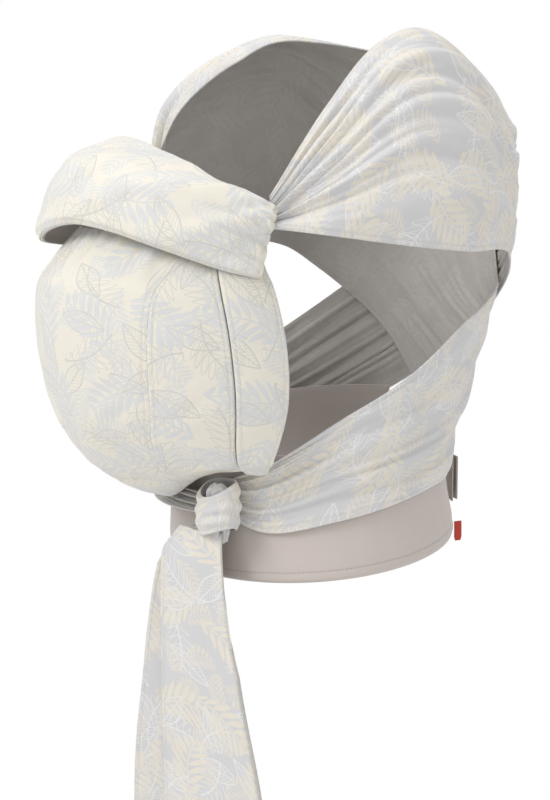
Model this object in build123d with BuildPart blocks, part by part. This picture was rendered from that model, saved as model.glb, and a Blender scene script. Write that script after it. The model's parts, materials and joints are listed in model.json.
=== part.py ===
from build123d import *
import os
from math import cos, radians, sin, sqrt, tan

# Hybrid wrap baby carrier, in the shape it takes on an adult, in millimetres.
# The wearer faces -Y and the wearer's left side is +X. The origin is the middle
# of the waist opening, at half the height of the waistband.

# ---------------------------------------------------------------- driving sizes
# The body that the cloth lies on: height, half width, half depth, centre in Y.
TORSO = (
    (-80, 144, 119, 7),
    (-30, 133, 109, -1),
    (20, 126, 104, -3),
    (75, 131, 107, 8),
    (135, 142, 111, 20),
    (205, 150, 115, 31),
    (290, 152, 117, 38),
    (400, 152, 117, 38),
)

layer_gap = 0.6  # air between two cloth layers
body_clearance = 1.0  # air between the wearer and the waistband lining

band_height = 104
band_tilt = 7.5  # the front of the belt sits lower than its back
band_end_angle = 156  # the padded belt ends here, left and right, at the back
band_lining_thickness = 1.0
band_pad_thickness = 5.6
band_cover_thickness = 1.2
band_hem = 7  # the foam stops this far inside the edges of the cover
tab_angle = 151
tab_width = 7
tab_length = 17
tab_thickness = 1.4
tab_round = 2
tab_lap = 1.5  # the tab is sewn this far up over the belt's lower edge

strap_thickness = 4.0  # the folded cloth, pressed together
# The strap from the wearer's left shoulder. Over the shoulder each row is the
# neck edge, the middle and the arm edge, as points.
left_shoulder = (
    ((114, -96, 256), (122, -99, 244), (120, -98, 231)),
    ((92, -35, 325), (130, -50, 285), (150, -62, 226)),
    ((66, 28, 374), (130, 22, 338), (160, 12, 215)),
    ((57, 84, 380), (124, 88, 328), (158, 62, 209)),
)
# Round the body each row is the same three places, as an angle from the front
# and a height.
left_torso = (
    ((170, 318), (142, 262), (131, 204)),
    ((187, 262), (163, 207), (152, 170)),
    ((210, 197), (194, 152), (180, 112)),
    ((234, 151), (224, 100), (214, 54)),
    ((260, 105), (254, 55), (248, 8)),
    ((290, 62), (288, 24), (286, -12)),
    ((318, 26), (318, 4), (318, -18)),
    ((342, 8), (342, -4), (342, -17)),
    ((376, 2), (376, -6), (376, -15)),
)
right_shoulder = (
    ((-114, -94, 268), (-123, -96, 248), (-120, -96, 231)),
    ((-100, -76, 316), (-138, -80, 302), (-150, -62, 214)),
    ((-80, -34, 356), (-145, -24, 336), (-160, -5, 198)),
    ((-60, 20, 374), (-134, 45, 342), (-158, 42, 190)),
)
right_torso = (
    ((-160, 340), (-132, 262), (-108, 178)),
    ((-183, 245), (-152, 200), (-124, 153)),
    ((-205, 182), (-175, 148), (-147, 114)),
    ((-229, 168), (-202, 122), (-172, 62)),
    ((-250, 150), (-226, 84), (-210, 18)),
    ((-270, 112), (-260, 58), (-250, 8)),
    ((-292, 77), (-290, 34), (-288, -8)),
    ((-316, 37), (-316, 8), (-316, -21)),
    ((-338, 16), (-338, 1), (-338, -14)),
)

# The pouch: height, half width, where its sides end in Y, and its depth.
POUCH = (
    (13, 92, -92, 34),
    (-2, 97, -92, 48),
    (7, 104, -92, 78),
    (20, 111, -92, 100),
    (41, 119, -92, 122),
    (68, 126, -92, 138),
    (100, 127, -92, 148),
    (140, 124, -94, 152),
    (178, 117, -97, 148),
    (198, 108, -98, 134),
    (226, 94, -99, 106),
)
pouch_corner_lift = 50  # how far the lower corners stand above the middle
pouch_turn = 15  # the lower edge turns up by this much, except at its corners
lining_thickness = 0.8
cloth_thickness = 1.0
leg_pad_thickness = 2.4
pleat_at = 0.906  # share of the arch where the side flap starts
leg_pad_at = 0.915
flap_top = 0.82
seam_gap = 0.003
seat_angle = 34
seat_turn = 3
seat_edge = 0.24

# The neck roll, from the wearer's left to the right: its lower hem and its rim.
roll_hem = (
    (123, -108, 190),
    (113, -142, 199),
    (90, -180, 214),
    (57, -210, 227),
    (18, -229, 232),
    (-22, -238, 225),
    (-58, -230, 212),
    (-92, -194, 203),
    (-114, -150, 196),
    (-123, -108, 192),
)
roll_rim = (
    (117, -101, 252),
    (105, -112, 259),
    (86, -122, 267),
    (58, -132, 278),
    (20, -142, 289),
    (-20, -149, 297),
    (-58, -148, 298),
    (-90, -134, 291),
    (-108, -114, 276),
    (-117, -100, 262),
)
roll_crown = 22  # how far the roll swells between its hem and its rim
roll_pad_thickness = 9.0

knot_centre = (60, -129.5, -4)
knot_size = (19, 15)  # half sizes of the turn round the knot
tail_angle = 22  # the hanging tails face outward by this much

knot_core_size = (12, 9)
knot_core_levels = ((-29.4, 0.7), (-18, 0.95), (-8, 1), (4, 1), (13, 0.85), (18, 0.5))
wrap_height = 22
wrap_rise = -2
wrap_round = 4
tail_front_levels = (
    (55, -135, -34, 13, 5.5),
    (53, -136, -60, 33, 5),
    (54, -131, -130, 42, 4.5),
    (55, -120, -260, 58, 4),
    (56, -117, -410, 64, 3.5),
    (56, -116, -560, 66, 3),
)
tail_rear_levels = (
    (44.7, -126.9, -34, 12, 5),
    (25, -132, -60, 32, 4.5),
    (14, -129, -130, 42, 4),
    (-3, -122, -260, 58, 3.5),
    (-9, -119, -395, 62, 3.5),
    (-14, -118, -530, 64, 3),
)

webbing_width = 38
webbing_thickness = 1.6
webbing_stand = 4.6  # how far the webbing's middle line stands off the belt's cover
left_sewn_angle = 153.5
right_sewn_angle = 141
buckle_height = 50
buckle_thickness = 12
buckle_y = 112
buckle_z = 0
female_length = 40
female_mouth = -6
male_length = 26
wall = 2.2
running_gap = 0.4
release_travel = 26
mouth_taper = 3
window_setback = 8
prong_head = 11
prong_width = 5
prong_inset = 1.4
corner_round = 5
edge_round = 1.6
bar_width = 5
bar_slot = 3.6
bar_depth = 2.0
bar_lift = 1.0  # the plug's bars lie this far outside the buckle's middle
rail_width = 5
plate_width = 4
ladder_pitch = 8
tongue_length = 16
tongue_width = 9
fold_radius = 2
bend_radius = 12
fold_end_x = 58
sewn_fold = 8
straight_end_x = 50
loose_length = 46


# ---------------------------------------------------------------- curved forms
def between(rows, u):
    """Smooth values between the rows of a table, at u from 0 to its last row."""
    last = len(rows) - 1
    i = min(max(int(u), 0), last - 1)
    t = u - i
    b, c = rows[i], rows[i + 1]
    a = rows[i - 1] if i else [2 * p - q for p, q in zip(b, c)]
    d = rows[i + 2] if i < last - 1 else [2 * q - p for p, q in zip(b, c)]
    return [
        (2 * q + (r - p) * t + (2 * p - 5 * q + 4 * r - s) * t**2
         + (3 * q - p - 3 * r + s) * t**3) / 2
        for p, q, r, s in zip(a, b, c, d)
    ]


def body_section(z):
    """Half width, half depth and centre of the body at a height."""
    heights = [row[0] for row in TORSO]
    i = max(k for k in range(len(heights) - 1) if k == 0 or heights[k] <= z)
    t = (z - heights[i]) / (heights[i + 1] - heights[i])
    return between([row[1:] for row in TORSO], i + min(max(t, 0), 1))


def around(angle, z, off):
    """The point round the body at an angle from the front, off its surface."""
    half_width, half_depth, centre = body_section(z)
    a = radians(angle)
    return ((half_width + off) * sin(a), centre - (half_depth + off) * cos(a), z)


def three_way(v):
    """Weights of the first, middle and last of three, at v from 0 to 1."""
    return (2 * (v - 0.5) * (v - 1), 4 * v * (1 - v), 2 * v * (v - 0.5))


def strap_point(shoulder, torso, off, u, v):
    """A point of a strap, u along it in rows and v across it from neck to arm."""
    weights = three_way(v)
    if u >= len(shoulder):
        row = between([[n for place in r for n in place] for r in torso], u - len(shoulder))
        angle = sum(w * row[2 * k] for k, w in enumerate(weights))
        z = sum(w * row[2 * k + 1] for k, w in enumerate(weights))
        return around(angle, z, off)
    rows = [[n for place in r for n in place] for r in shoulder]
    rows += [[n for place in r for n in around(*place, off)] for r in torso[:2]]
    row = between(rows, u)
    return tuple(sum(w * row[3 * k + i] for k, w in enumerate(weights)) for i in range(3))


def band_point(angle, share, off):
    """A point of the belt, share of its height up from its lower edge."""
    x, y, z = around(angle, band_height * (share - 0.5), off)
    return around(angle, z + y * tan(radians(band_tilt)), off)


def pouch_point(u, v):
    """A point of the pouch, u up from the waist and v from the right to the left."""
    z, half_width, side_y, depth = between(POUCH, u * (len(POUCH) - 1))
    a = radians(180 * v - 90)
    toward_side = sin(a) ** 2
    lift = pouch_corner_lift * (1 - u) ** 2 * 1.45 * toward_side / (toward_side + 0.45)
    turn = pouch_turn * (1 - u) ** 8 * toward_side
    return (half_width * sin(a), side_y - depth * cos(a), z + lift - turn)


def seam_at(u):
    """Where the curved seam beside the middle cloth runs, as a share of the arch."""
    return between(((0.63,), (0.70,), (0.745,), (0.775,), (0.845,)), 4 * u)[0]


def roll_point(s, t):
    """A point of the neck roll's outside, s along it and t from the hem to the rim."""
    hem = between(roll_hem, s * (len(roll_hem) - 1))
    rim = between(roll_rim, s * (len(roll_rim) - 1))
    crown = roll_crown * 4 * t * (1 - t) * (1 - 0.65 * (2 * s - 1) ** 4)
    x, y, z = [h + (r - h) * t for h, r in zip(hem, rim)]
    out = Vector(x, y - roll_rim[4][1] + 60, 0).normalized()
    return (x + crown * out.X * 0.7, y + crown * out.Y * 0.7, z + crown * 0.7)


def shifted(surface, off):
    """The same surface, moved off along its normal."""
    step = 0.002

    def moved(u, v):
        here = Vector(*surface(u, v))
        along = Vector(*surface(u + step, v)) - Vector(*surface(u - step, v))
        across = Vector(*surface(u, v + step)) - Vector(*surface(u, v - step))
        return here + along.cross(across).normalized() * off

    return moved


def knot_frame(surface, u, v, du, dv):
    """Position, the two slopes over a patch and its twist, at a patch's corner."""
    step = 0.02
    eu, ev = step * du, step * dv

    def at(a, b):
        return Vector(*surface(u + a * eu, v + b * ev))

    here = at(0, 0)
    slope_u = (at(1, 0) - at(-1, 0)) / (2 * step)
    slope_v = (at(0, 1) - at(0, -1)) / (2 * step)
    twist = (at(1, 1) - at(1, -1) - at(-1, 1) + at(-1, -1)) / (4 * step**2)
    return here, slope_u / 3, slope_v / 3, twist / 9


def quilt(near, far, rows, columns):
    """A closed sheet between two surfaces: smooth patches and straight edges."""
    du, dv = 1 / rows, 1 / columns
    layers = [
        [
            [knot_frame(side, i * du, j * dv, du, dv) for j in range(columns + 1)]
            for i in range(rows + 1)
        ]
        for side in (near, far)
    ]

    def edge_u(layer, i, j):
        a, b = layer[i][j], layer[i + 1][j]
        return [a[0], a[0] + a[1], b[0] - b[1], b[0]]

    def edge_v(layer, i, j):
        a, b = layer[i][j], layer[i][j + 1]
        return [a[0], a[0] + a[2], b[0] - b[2], b[0]]

    def inner(k, su, sv):
        p, pu, pv, puv = k
        return p + pu * su + pv * sv + puv * (su * sv)

    faces = []
    for layer in layers:
        for i in range(rows):
            for j in range(columns):
                low, high = edge_v(layer, i, j), edge_v(layer, i + 1, j)
                left, right = edge_u(layer, i, j), edge_u(layer, i, j + 1)
                net = [
                    low,
                    [left[1], inner(layer[i][j], 1, 1), inner(layer[i][j + 1], 1, -1), right[1]],
                    [left[2], inner(layer[i + 1][j], -1, 1), inner(layer[i + 1][j + 1], -1, -1), right[2]],
                    high,
                ]
                faces.append(Face.make_bezier_surface(net))
    for i in range(rows):
        for j in (0, columns):
            faces.append(Face.make_bezier_surface([edge_u(layer, i, j) for layer in layers]))
    for j in range(columns):
        for i in (0, rows):
            faces.append(Face.make_bezier_surface([edge_v(layer, i, j) for layer in layers]))
    solid = Solid(Shell(faces))
    return solid if solid.volume > 0 else Solid(solid.wrapped.Reversed())


def strip(surface, first, last):
    """The stretch of a surface between two lines across it."""

    def part_of(u, v):
        low = first(u) if callable(first) else first
        high = last(u) if callable(last) else last
        return surface(u, low + (high - low) * v)

    return part_of


def write(name, part):
    """Label a piece and write it to its own file."""
    part.label = name
    export_step(part, f"parts/{name}.step")


def sew(name, near, far, rows, columns):
    """Make one sheet of cloth or padding between two surfaces and write it."""
    with BuildPart() as piece:
        add(quilt(near, far, rows, columns))
    write(name, piece.part)


def layer(surface, off, thickness):
    """The two faces of a sheet that lies off a surface, on the side of its normal."""
    return shifted(surface, off), shifted(surface, off + thickness)


os.makedirs("parts", exist_ok=True)

# ---------------------------------------------------------------- waistband
lining_off = body_clearance
pad_off = lining_off + band_lining_thickness + layer_gap
cover_off = pad_off + band_pad_thickness + layer_gap
band_outside = cover_off + band_cover_thickness
belt_layers = (
    ("waistband_lining", lining_off, band_lining_thickness, 0),
    ("waistband_pad", pad_off, band_pad_thickness, band_hem),
    ("waistband_cover", cover_off, band_cover_thickness, 0),
)


def belt(off, hem):
    """The belt's surface at a distance from the body, inside its hems."""
    trim = hem / band_height
    reach = band_end_angle - hem / 2
    return lambda u, v: band_point(reach * (2 * u - 1), trim + (1 - 2 * trim) * v, off)


for name, off, thickness, hem in belt_layers:
    sew(name, belt(off, hem), belt(off + thickness, hem), 16, 4)

# ---------------------------------------------------------------- straps
right_strap_off = band_outside + layer_gap
left_strap_off = right_strap_off + strap_thickness + layer_gap
spans = len(left_shoulder) + len(left_torso) - 1


def left_run(u, v):
    """The inner face of the strap from the left shoulder."""
    return strap_point(left_shoulder, left_torso, left_strap_off, u * spans, v)


def right_run(u, v):
    """The inner face of the strap from the right shoulder."""
    return strap_point(right_shoulder, right_torso, right_strap_off, u * spans, v)


sew("strap_left", *layer(left_run, 0, -strap_thickness), 2 * spans, 3)
sew("strap_right", *layer(right_run, 0, strap_thickness), 2 * spans, 3)

# ---------------------------------------------------------------- pouch
pouch_lining_off = cloth_thickness + layer_gap
leg_pad_off = pouch_lining_off - layer_gap - leg_pad_thickness
flap_off = leg_pad_off - layer_gap - cloth_thickness
sew("pouch_lining", *layer(pouch_point, pouch_lining_off, lining_thickness), 12, 10)
middle = strip(pouch_point, lambda u: 1 - seam_at(u), seam_at)
sew("pouch_middle", *layer(middle, 0, cloth_thickness), 12, 6)


def side_of(side, low, high, top=1.0):
    """The pouch between two shares of its arch, counted from the wearer's right."""

    def surface(u, v):
        start = low(u) if callable(low) else low
        share = start + (high - start) * v
        return pouch_point(u * top, share if side > 0 else 1 - share)

    return surface


for side, name in ((1, "left"), (-1, "right")):
    panel = side_of(side, lambda u: seam_at(u) + seam_gap, pleat_at)
    leg_pad = side_of(side, leg_pad_at, 1, flap_top)
    flap = side_of(side, pleat_at, 1, flap_top)
    sew(f"pouch_side_{name}", *layer(panel, 0, side * cloth_thickness), 12, 2)
    sew(f"leg_pad_{name}", *layer(leg_pad, side * leg_pad_off, side * leg_pad_thickness), 10, 1)
    sew(f"side_flap_{name}", *layer(flap, side * flap_off, side * cloth_thickness), 10, 1)


def seat(off):
    """From the top of the belt, out and down to the lower edge of the pouch."""
    inside = shifted(pouch_point, off)
    turn = 1 - seat_turn / band_height

    def surface(u, v):
        start = band_point(seat_angle * (2 * v - 1), turn, band_outside + 1.5 * layer_gap)
        end = inside(0, seat_edge + (1 - 2 * seat_edge) * v)
        return tuple(a + (b - a) * u for a, b in zip(start, end))

    return surface


seat_off = pouch_lining_off + lining_thickness + 2 * layer_gap
sew("seat_cloth", *layer(seat(seat_off), 0, lining_thickness), 2, 6)

# ---------------------------------------------------------------- neck roll
roll_pad_off = cloth_thickness + layer_gap
roll_facing_off = roll_pad_off + roll_pad_thickness + layer_gap
sew("neck_roll_cover", *layer(roll_point, 0, cloth_thickness), 18, 4)
sew("neck_roll_pad", *layer(roll_point, roll_pad_off, roll_pad_thickness), 18, 4)
sew("neck_roll_facing", *layer(roll_point, roll_facing_off, lining_thickness), 18, 4)

# ---------------------------------------------------------------- knot and tails
knot_x, knot_y, knot_z = knot_centre
with BuildPart() as knot_core:
    for rise, share in knot_core_levels:
        with BuildSketch(Plane((knot_x, knot_y, knot_z + rise))):
            Ellipse(knot_core_size[0] * share, knot_core_size[1] * share)
    loft()
write("knot_core", knot_core.part)

with BuildPart() as knot_wrap:
    with BuildSketch(Plane((knot_x, knot_y, knot_z + wrap_rise - wrap_height / 2))):
        Ellipse(*knot_size)
        Ellipse(
            knot_core_size[0] + running_gap, knot_core_size[1] + running_gap, mode=Mode.SUBTRACT
        )
    extrude(amount=wrap_height)
    fillet(knot_wrap.edges().filter_by(GeomType.ELLIPSE).group_by(SortBy.LENGTH)[-1], wrap_round)
write("knot_wrap", knot_wrap.part)

tail_face = Vector(sin(radians(tail_angle)), -cos(radians(tail_angle)), 0)
tail_side = Vector(cos(radians(tail_angle)), sin(radians(tail_angle)), 0)
for name, levels in (("tail_front", tail_front_levels), ("tail_rear", tail_rear_levels)):
    with BuildPart() as tail:
        for x, y, z, half_width, half_depth in levels:
            with BuildSketch(Plane((x, y, z), x_dir=tail_side, z_dir=(0, 0, -1))):
                Ellipse(half_width, half_depth)
        loft()
    write(name, tail.part)

# ---------------------------------------------------------------- red pull tab
tab_off = band_outside + 1.5 * layer_gap + tab_thickness / 2
tab_root = Vector(*band_point(tab_angle, tab_lap / band_height, tab_off))
tab_out = Vector(sin(radians(tab_angle)), -cos(radians(tab_angle)), 0)
tab_plane = Plane(tab_root, x_dir=(0, 0, -1), z_dir=tab_out)
with BuildPart() as red_tab:
    with BuildSketch(tab_plane):
        with Locations((tab_length / 2, 0)):
            RectangleRounded(tab_length, tab_width, tab_round)
    extrude(amount=tab_thickness / 2, both=True)
write("red_tab", red_tab.part)

# ---------------------------------------------------------------- belt buckle
# The two halves meet at the middle of the back. The socket hangs on the belt's
# left end. The plug slides along the webbing of the right end.
half_height = buckle_height / 2
half_depth = buckle_thickness / 2
buckle_plane = Plane((0, buckle_y, buckle_z), x_dir=(1, 0, 0), z_dir=(0, -1, 0))
path_plane = Plane.XY.offset(buckle_z)
slot_height = webbing_width + 2 * running_gap
cavity_height = buckle_height - 4 * wall
cavity_depth = buckle_thickness - 2 * wall
female_end = female_mouth + female_length
slot_end = female_end - bar_width
slot_start = slot_end - bar_slot
window_start = female_mouth + window_setback
window_end = window_start + prong_head + 2 * running_gap

with BuildPart() as buckle_female:
    with BuildSketch(buckle_plane):
        with BuildLine():
            Polyline(
                (female_mouth, half_height - mouth_taper),
                (window_start, half_height),
                (female_end, half_height),
                (female_end, -half_height),
                (window_start, -half_height),
                (female_mouth, mouth_taper - half_height),
                close=True,
            )
        make_face()
        fillet(vertices().sort_by(Axis.X)[-2:], corner_round)
    extrude(amount=half_depth, both=True)
    fillet(buckle_female.edges().filter_by(Plane.XZ), edge_round)
    with BuildSketch(buckle_plane):
        with Locations(((female_mouth + slot_start - wall) / 2, 0)):
            Rectangle(slot_start - wall - female_mouth, cavity_height)
        with Locations(((window_start + window_end) / 2, 0)):
            Rectangle(window_end - window_start, buckle_height + wall)
    extrude(amount=cavity_depth / 2, both=True, mode=Mode.SUBTRACT)
    with BuildSketch(buckle_plane):
        with Locations((slot_start + bar_slot / 2, 0), (female_end, 0)):
            Rectangle(bar_slot, slot_height)
        with Locations((female_end - bar_width / 2, 0)):
            Rectangle(bar_width, slot_height)
    extrude(amount=half_depth, both=True, mode=Mode.SUBTRACT)
    with BuildSketch(buckle_plane):
        with Locations((slot_end + bar_depth / 2, 0)):
            Rectangle(bar_depth, slot_height + wall)
    extrude(amount=bar_depth, both=True)
write("buckle_female", buckle_female.part)

plug_front = female_mouth - running_gap
plug_back = plug_front - male_length
rail_z = half_height - rail_width / 2
under = half_depth - 2 * (webbing_thickness + running_gap)  # depth below the bars
with BuildPart() as buckle_male:
    with BuildSketch(buckle_plane):
        with Locations(((plug_front + plug_back) / 2, rail_z), ((plug_front + plug_back) / 2, -rail_z)):
            RectangleRounded(male_length, rail_width, edge_round)
    extrude(amount=half_depth - 1, both=True)
    with BuildSketch(buckle_plane.offset(-bar_lift)):
        with Locations((plug_front - plate_width / 2, 0)):
            Rectangle(plate_width, buckle_height - rail_width)
        for k in range(2):
            with Locations((plug_back + bar_width / 2 + k * ladder_pitch, 0)):
                Rectangle(bar_width, buckle_height - rail_width)
        with Locations((plug_front + tongue_length / 2, 0)):
            Rectangle(tongue_length, tongue_width)
    extrude(amount=bar_depth, both=True)
write("buckle_male", buckle_male.part)

prong_root_z = cavity_height / 2 - prong_width - running_gap
head_start = window_start + running_gap
for side, name in ((1, "upper"), (-1, "lower")):
    with BuildPart() as prong:
        with BuildSketch(buckle_plane.offset(-bar_lift)):
            with BuildLine():
                Polyline(
                    (plug_front + running_gap / 2, side * prong_root_z),
                    (head_start + prong_head - 2, side * (prong_root_z + 1.5)),
                    (head_start + prong_head, side * (prong_root_z + 4)),
                    (head_start, side * (half_height - prong_inset)),
                    (head_start, side * (prong_root_z + prong_width)),
                    (plug_front + running_gap / 2, side * (prong_root_z + prong_width)),
                    close=True,
                )
            make_face()
        extrude(amount=bar_depth, both=True)
        fillet(prong.edges().filter_by(Axis.Y).sort_by(Axis.X)[-3:], 0.8)
    write(f"buckle_prong_{name}", prong.part)


def strap_of_webbing(name, path, radius):
    """Webbing along a level path, its width upright."""
    with BuildPart() as webbing:
        with BuildSketch(path_plane):
            with BuildLine():
                FilletPolyline(*path, radius=radius)
            trace(line_width=webbing_thickness)
        extrude(amount=webbing_width / 2, both=True)
    write(name, webbing.part)


lay_y = buckle_y - half_depth + running_gap + webbing_thickness / 2
loop_y = lay_y + webbing_thickness + running_gap
sewn_off = band_outside + webbing_stand + webbing_thickness / 2
bar_turn = bar_depth + running_gap + webbing_thickness / 2
bar_x = slot_end + bar_depth / 2
left_end = around(left_sewn_angle, buckle_z, sewn_off)
right_end = around(-right_sewn_angle, buckle_z, sewn_off)
turn_x = bar_x - bar_turn + running_gap
strap_of_webbing(
    "webbing_left",
    [
        (fold_end_x, left_end[1] + sewn_fold),
        (female_end + bar_width, buckle_y + bar_turn),
        (turn_x, buckle_y + bar_turn),
        (turn_x, buckle_y - bar_turn),
        (straight_end_x, buckle_y - bar_turn),
        (left_end[0], left_end[1]),
    ],
    fold_radius,
)
strap_of_webbing(
    "webbing_right",
    [
        (plug_back - running_gap, lay_y),
        (plug_back - release_travel - running_gap, lay_y),
        (right_end[0], right_end[1]),
    ],
    bend_radius,
)
loose_y = buckle_y + bar_lift + bar_depth + running_gap + webbing_thickness / 2
strap_of_webbing(
    "webbing_loose_end",
    [
        (plug_back + bar_width, loop_y),
        (plug_front - plate_width - webbing_thickness, loop_y),
        (plug_front - plate_width - webbing_thickness, loose_y),
        (plug_back - loose_length, loose_y),
    ],
    1.6,
)
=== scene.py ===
"""Looks of a hybrid wrap baby carrier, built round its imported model.

The carrier keeps the shape it takes on an adult: a padded belt, a gathered
pouch with a padded neck roll, and two long wrap straps that cross at the back
and are knotted in front. The tables give millimetres, and every mesh is made
in metres. The wearer faces -Y and the wearer's left side is +X.
"""

import json
import logging
import math
from dataclasses import dataclass, field
from enum import Enum
from typing import Callable, Sequence

import bpy
import numpy as np
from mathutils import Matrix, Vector

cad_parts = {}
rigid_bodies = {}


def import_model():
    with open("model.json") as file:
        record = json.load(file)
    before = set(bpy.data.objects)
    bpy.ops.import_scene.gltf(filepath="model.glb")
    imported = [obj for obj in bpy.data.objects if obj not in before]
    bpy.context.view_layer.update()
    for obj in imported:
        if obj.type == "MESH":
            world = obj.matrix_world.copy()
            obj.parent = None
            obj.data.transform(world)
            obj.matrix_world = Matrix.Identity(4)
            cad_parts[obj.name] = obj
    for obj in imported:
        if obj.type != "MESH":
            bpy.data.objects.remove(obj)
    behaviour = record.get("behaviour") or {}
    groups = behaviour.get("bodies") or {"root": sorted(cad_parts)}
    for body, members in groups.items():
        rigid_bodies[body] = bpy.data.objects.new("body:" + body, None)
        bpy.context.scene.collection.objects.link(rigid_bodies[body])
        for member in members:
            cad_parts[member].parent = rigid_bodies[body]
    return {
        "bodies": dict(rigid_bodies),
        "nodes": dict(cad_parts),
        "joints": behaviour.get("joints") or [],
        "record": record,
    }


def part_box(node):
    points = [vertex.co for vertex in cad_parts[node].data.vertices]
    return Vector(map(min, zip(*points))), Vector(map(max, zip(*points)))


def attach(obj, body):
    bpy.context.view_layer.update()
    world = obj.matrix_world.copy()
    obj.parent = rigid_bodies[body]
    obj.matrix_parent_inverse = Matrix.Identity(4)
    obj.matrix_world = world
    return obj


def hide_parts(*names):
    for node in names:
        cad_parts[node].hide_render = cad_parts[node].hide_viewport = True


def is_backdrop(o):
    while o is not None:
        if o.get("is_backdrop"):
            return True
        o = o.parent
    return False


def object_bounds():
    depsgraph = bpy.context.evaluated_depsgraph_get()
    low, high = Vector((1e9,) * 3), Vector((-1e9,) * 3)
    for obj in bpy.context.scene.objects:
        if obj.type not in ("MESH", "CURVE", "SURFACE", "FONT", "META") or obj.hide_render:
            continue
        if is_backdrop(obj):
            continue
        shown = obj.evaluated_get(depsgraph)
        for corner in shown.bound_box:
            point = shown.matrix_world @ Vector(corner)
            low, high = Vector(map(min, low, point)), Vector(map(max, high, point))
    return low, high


LOG = logging.getLogger("wrap_carrier")
MM = 0.001
Array = np.ndarray
Surface = Callable[[Array, Array], Array]
Colour = tuple[float, float, float]

LAYER_GAP = 0.6  # air between two cloth layers
CLOTH = 1.0  # thickness of the woven cloth
BAND_OUTSIDE = 10.0  # the belt's outer face, off the wearer
STRAP_THICKNESS = 4.0  # the room that each folded strap takes


# ------------------------------------------------------------------ curves
def between(rows: Sequence[Sequence[float]] | Array, u: Array) -> Array:
    """Smooth values between the rows of a table.

    Args:
        rows: One row of numbers for each step.
        u: Places from 0 to the last row.

    Returns:
        The rows' values at u, with one more axis for the row's numbers.
    """
    table = np.asarray(rows, float)
    last = len(table) - 1
    i = np.clip(np.floor(u).astype(int), 0, last - 1)
    t = (u - i)[..., None]
    b, c = table[i], table[i + 1]
    a = np.where((i > 0)[..., None], table[np.maximum(i - 1, 0)], 2 * b - c)
    d = np.where((i < last - 1)[..., None], table[np.minimum(i + 2, last)], 2 * c - b)
    return (
        2 * b
        + (c - a) * t
        + (2 * a - 5 * b + 4 * c - d) * t**2
        + (3 * b - a - 3 * c + d) * t**3
    ) / 2


def smooth(low: float, high: float, x: Array) -> Array:
    """A soft step from 0 at low to 1 at high.

    Args:
        low: Where the step starts.
        high: Where it ends.
        x: The values to be stepped.

    Returns:
        The step, like x.
    """
    t = np.clip((x - low) / (high - low), 0, 1)
    return t * t * (3 - 2 * t)


def bell(x: Array, middle: float | Array, width: float | Array) -> Array:
    """A soft bump of height 1 round a middle."""
    return np.exp(-(((x - middle) / width) ** 2))


def at_least(x: Array, least: Array | float, firm: float) -> Array:
    """The values of x, eased off before they fall under least."""
    return least + np.log1p(np.exp(np.clip(firm * (x - least), -30, 30))) / firm


def at_most(x: Array, most: Array | float, firm: float) -> Array:
    """The values of x, eased off before they rise over most."""
    return most - np.log1p(np.exp(np.clip(firm * (most - x), -30, 30))) / firm


def grid(rows: int, columns: int) -> tuple[Array, Array]:
    """The u and v of a sheet's crossings, each from 0 to 1."""
    return np.meshgrid(
        np.linspace(0, 1, rows + 1), np.linspace(0, 1, columns + 1), indexing="ij"
    )


def normals(points: Array) -> Array:
    """The unit normals of a grid of points, along u crossed with v.

    Args:
        points: The grid, rows by columns by 3.

    Returns:
        The normals, like points.
    """
    cross = np.cross(np.gradient(points, axis=0), np.gradient(points, axis=1))
    return cross / np.maximum(np.linalg.norm(cross, axis=-1, keepdims=True), 1e-12)


def lengths(points: Array, axis: int) -> Array:
    """How far each crossing lies along its own line of the grid, in metres.

    Args:
        points: The grid, in millimetres.
        axis: 0 to go along its rows, 1 along its columns.

    Returns:
        One length for each crossing.
    """
    steps = np.linalg.norm(np.diff(points, axis=axis), axis=-1)
    total = np.cumsum(steps, axis=axis)
    first = np.zeros_like(np.take(total, [0], axis=axis))
    return np.concatenate([first, total], axis=axis)


def ripple(u: Array, v: Array, seed: int, waves: int, along: float, across: float) -> Array:
    """A seeded sum of soft waves, about -1 to 1.

    Args:
        u: Places along the sheet.
        v: Places across the sheet.
        seed: Picks the waves.
        waves: How many waves are added.
        along: Most cycles along the sheet.
        across: Most cycles across the sheet.

    Returns:
        The waves' height at each place.
    """
    rng = np.random.default_rng(seed)
    total = np.zeros_like(u)
    for _ in range(waves):
        cu = rng.uniform(-along, along)
        cv = rng.uniform(0.3, 1) * across
        total += np.sin(2 * math.pi * (cu * u + cv * v + rng.uniform()))
    return total / math.sqrt(waves)


@dataclass(frozen=True)
class Body:
    """The wearer's trunk, which carries the cloth and isn't shown."""

    sections: tuple[tuple[float, float, float, float], ...] = (
        (-80, 144, 119, 7),
        (-30, 133, 109, -1),
        (20, 126, 104, -3),
        (75, 131, 107, 8),
        (135, 142, 111, 20),
        (205, 150, 115, 31),
        (290, 152, 117, 38),
        (400, 152, 117, 38),
    )

    def around(self, angle: Array, z: Array, off: float | Array) -> Array:
        """Points round the trunk.

        Args:
            angle: Degrees from the front towards the wearer's left.
            z: Heights.
            off: How far the points lie off the trunk.

        Returns:
            The points, in millimetres.
        """
        table = np.asarray(self.sections, float)
        place = np.interp(z, table[:, 0], np.arange(len(table)))
        shape = between(table[:, 1:], place)
        a = np.radians(angle)
        return np.stack(
            [
                (shape[..., 0] + off) * np.sin(a),
                shape[..., 2] - (shape[..., 1] + off) * np.cos(a),
                z + 0 * a,
            ],
            axis=-1,
        )


BODY = Body()


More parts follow.
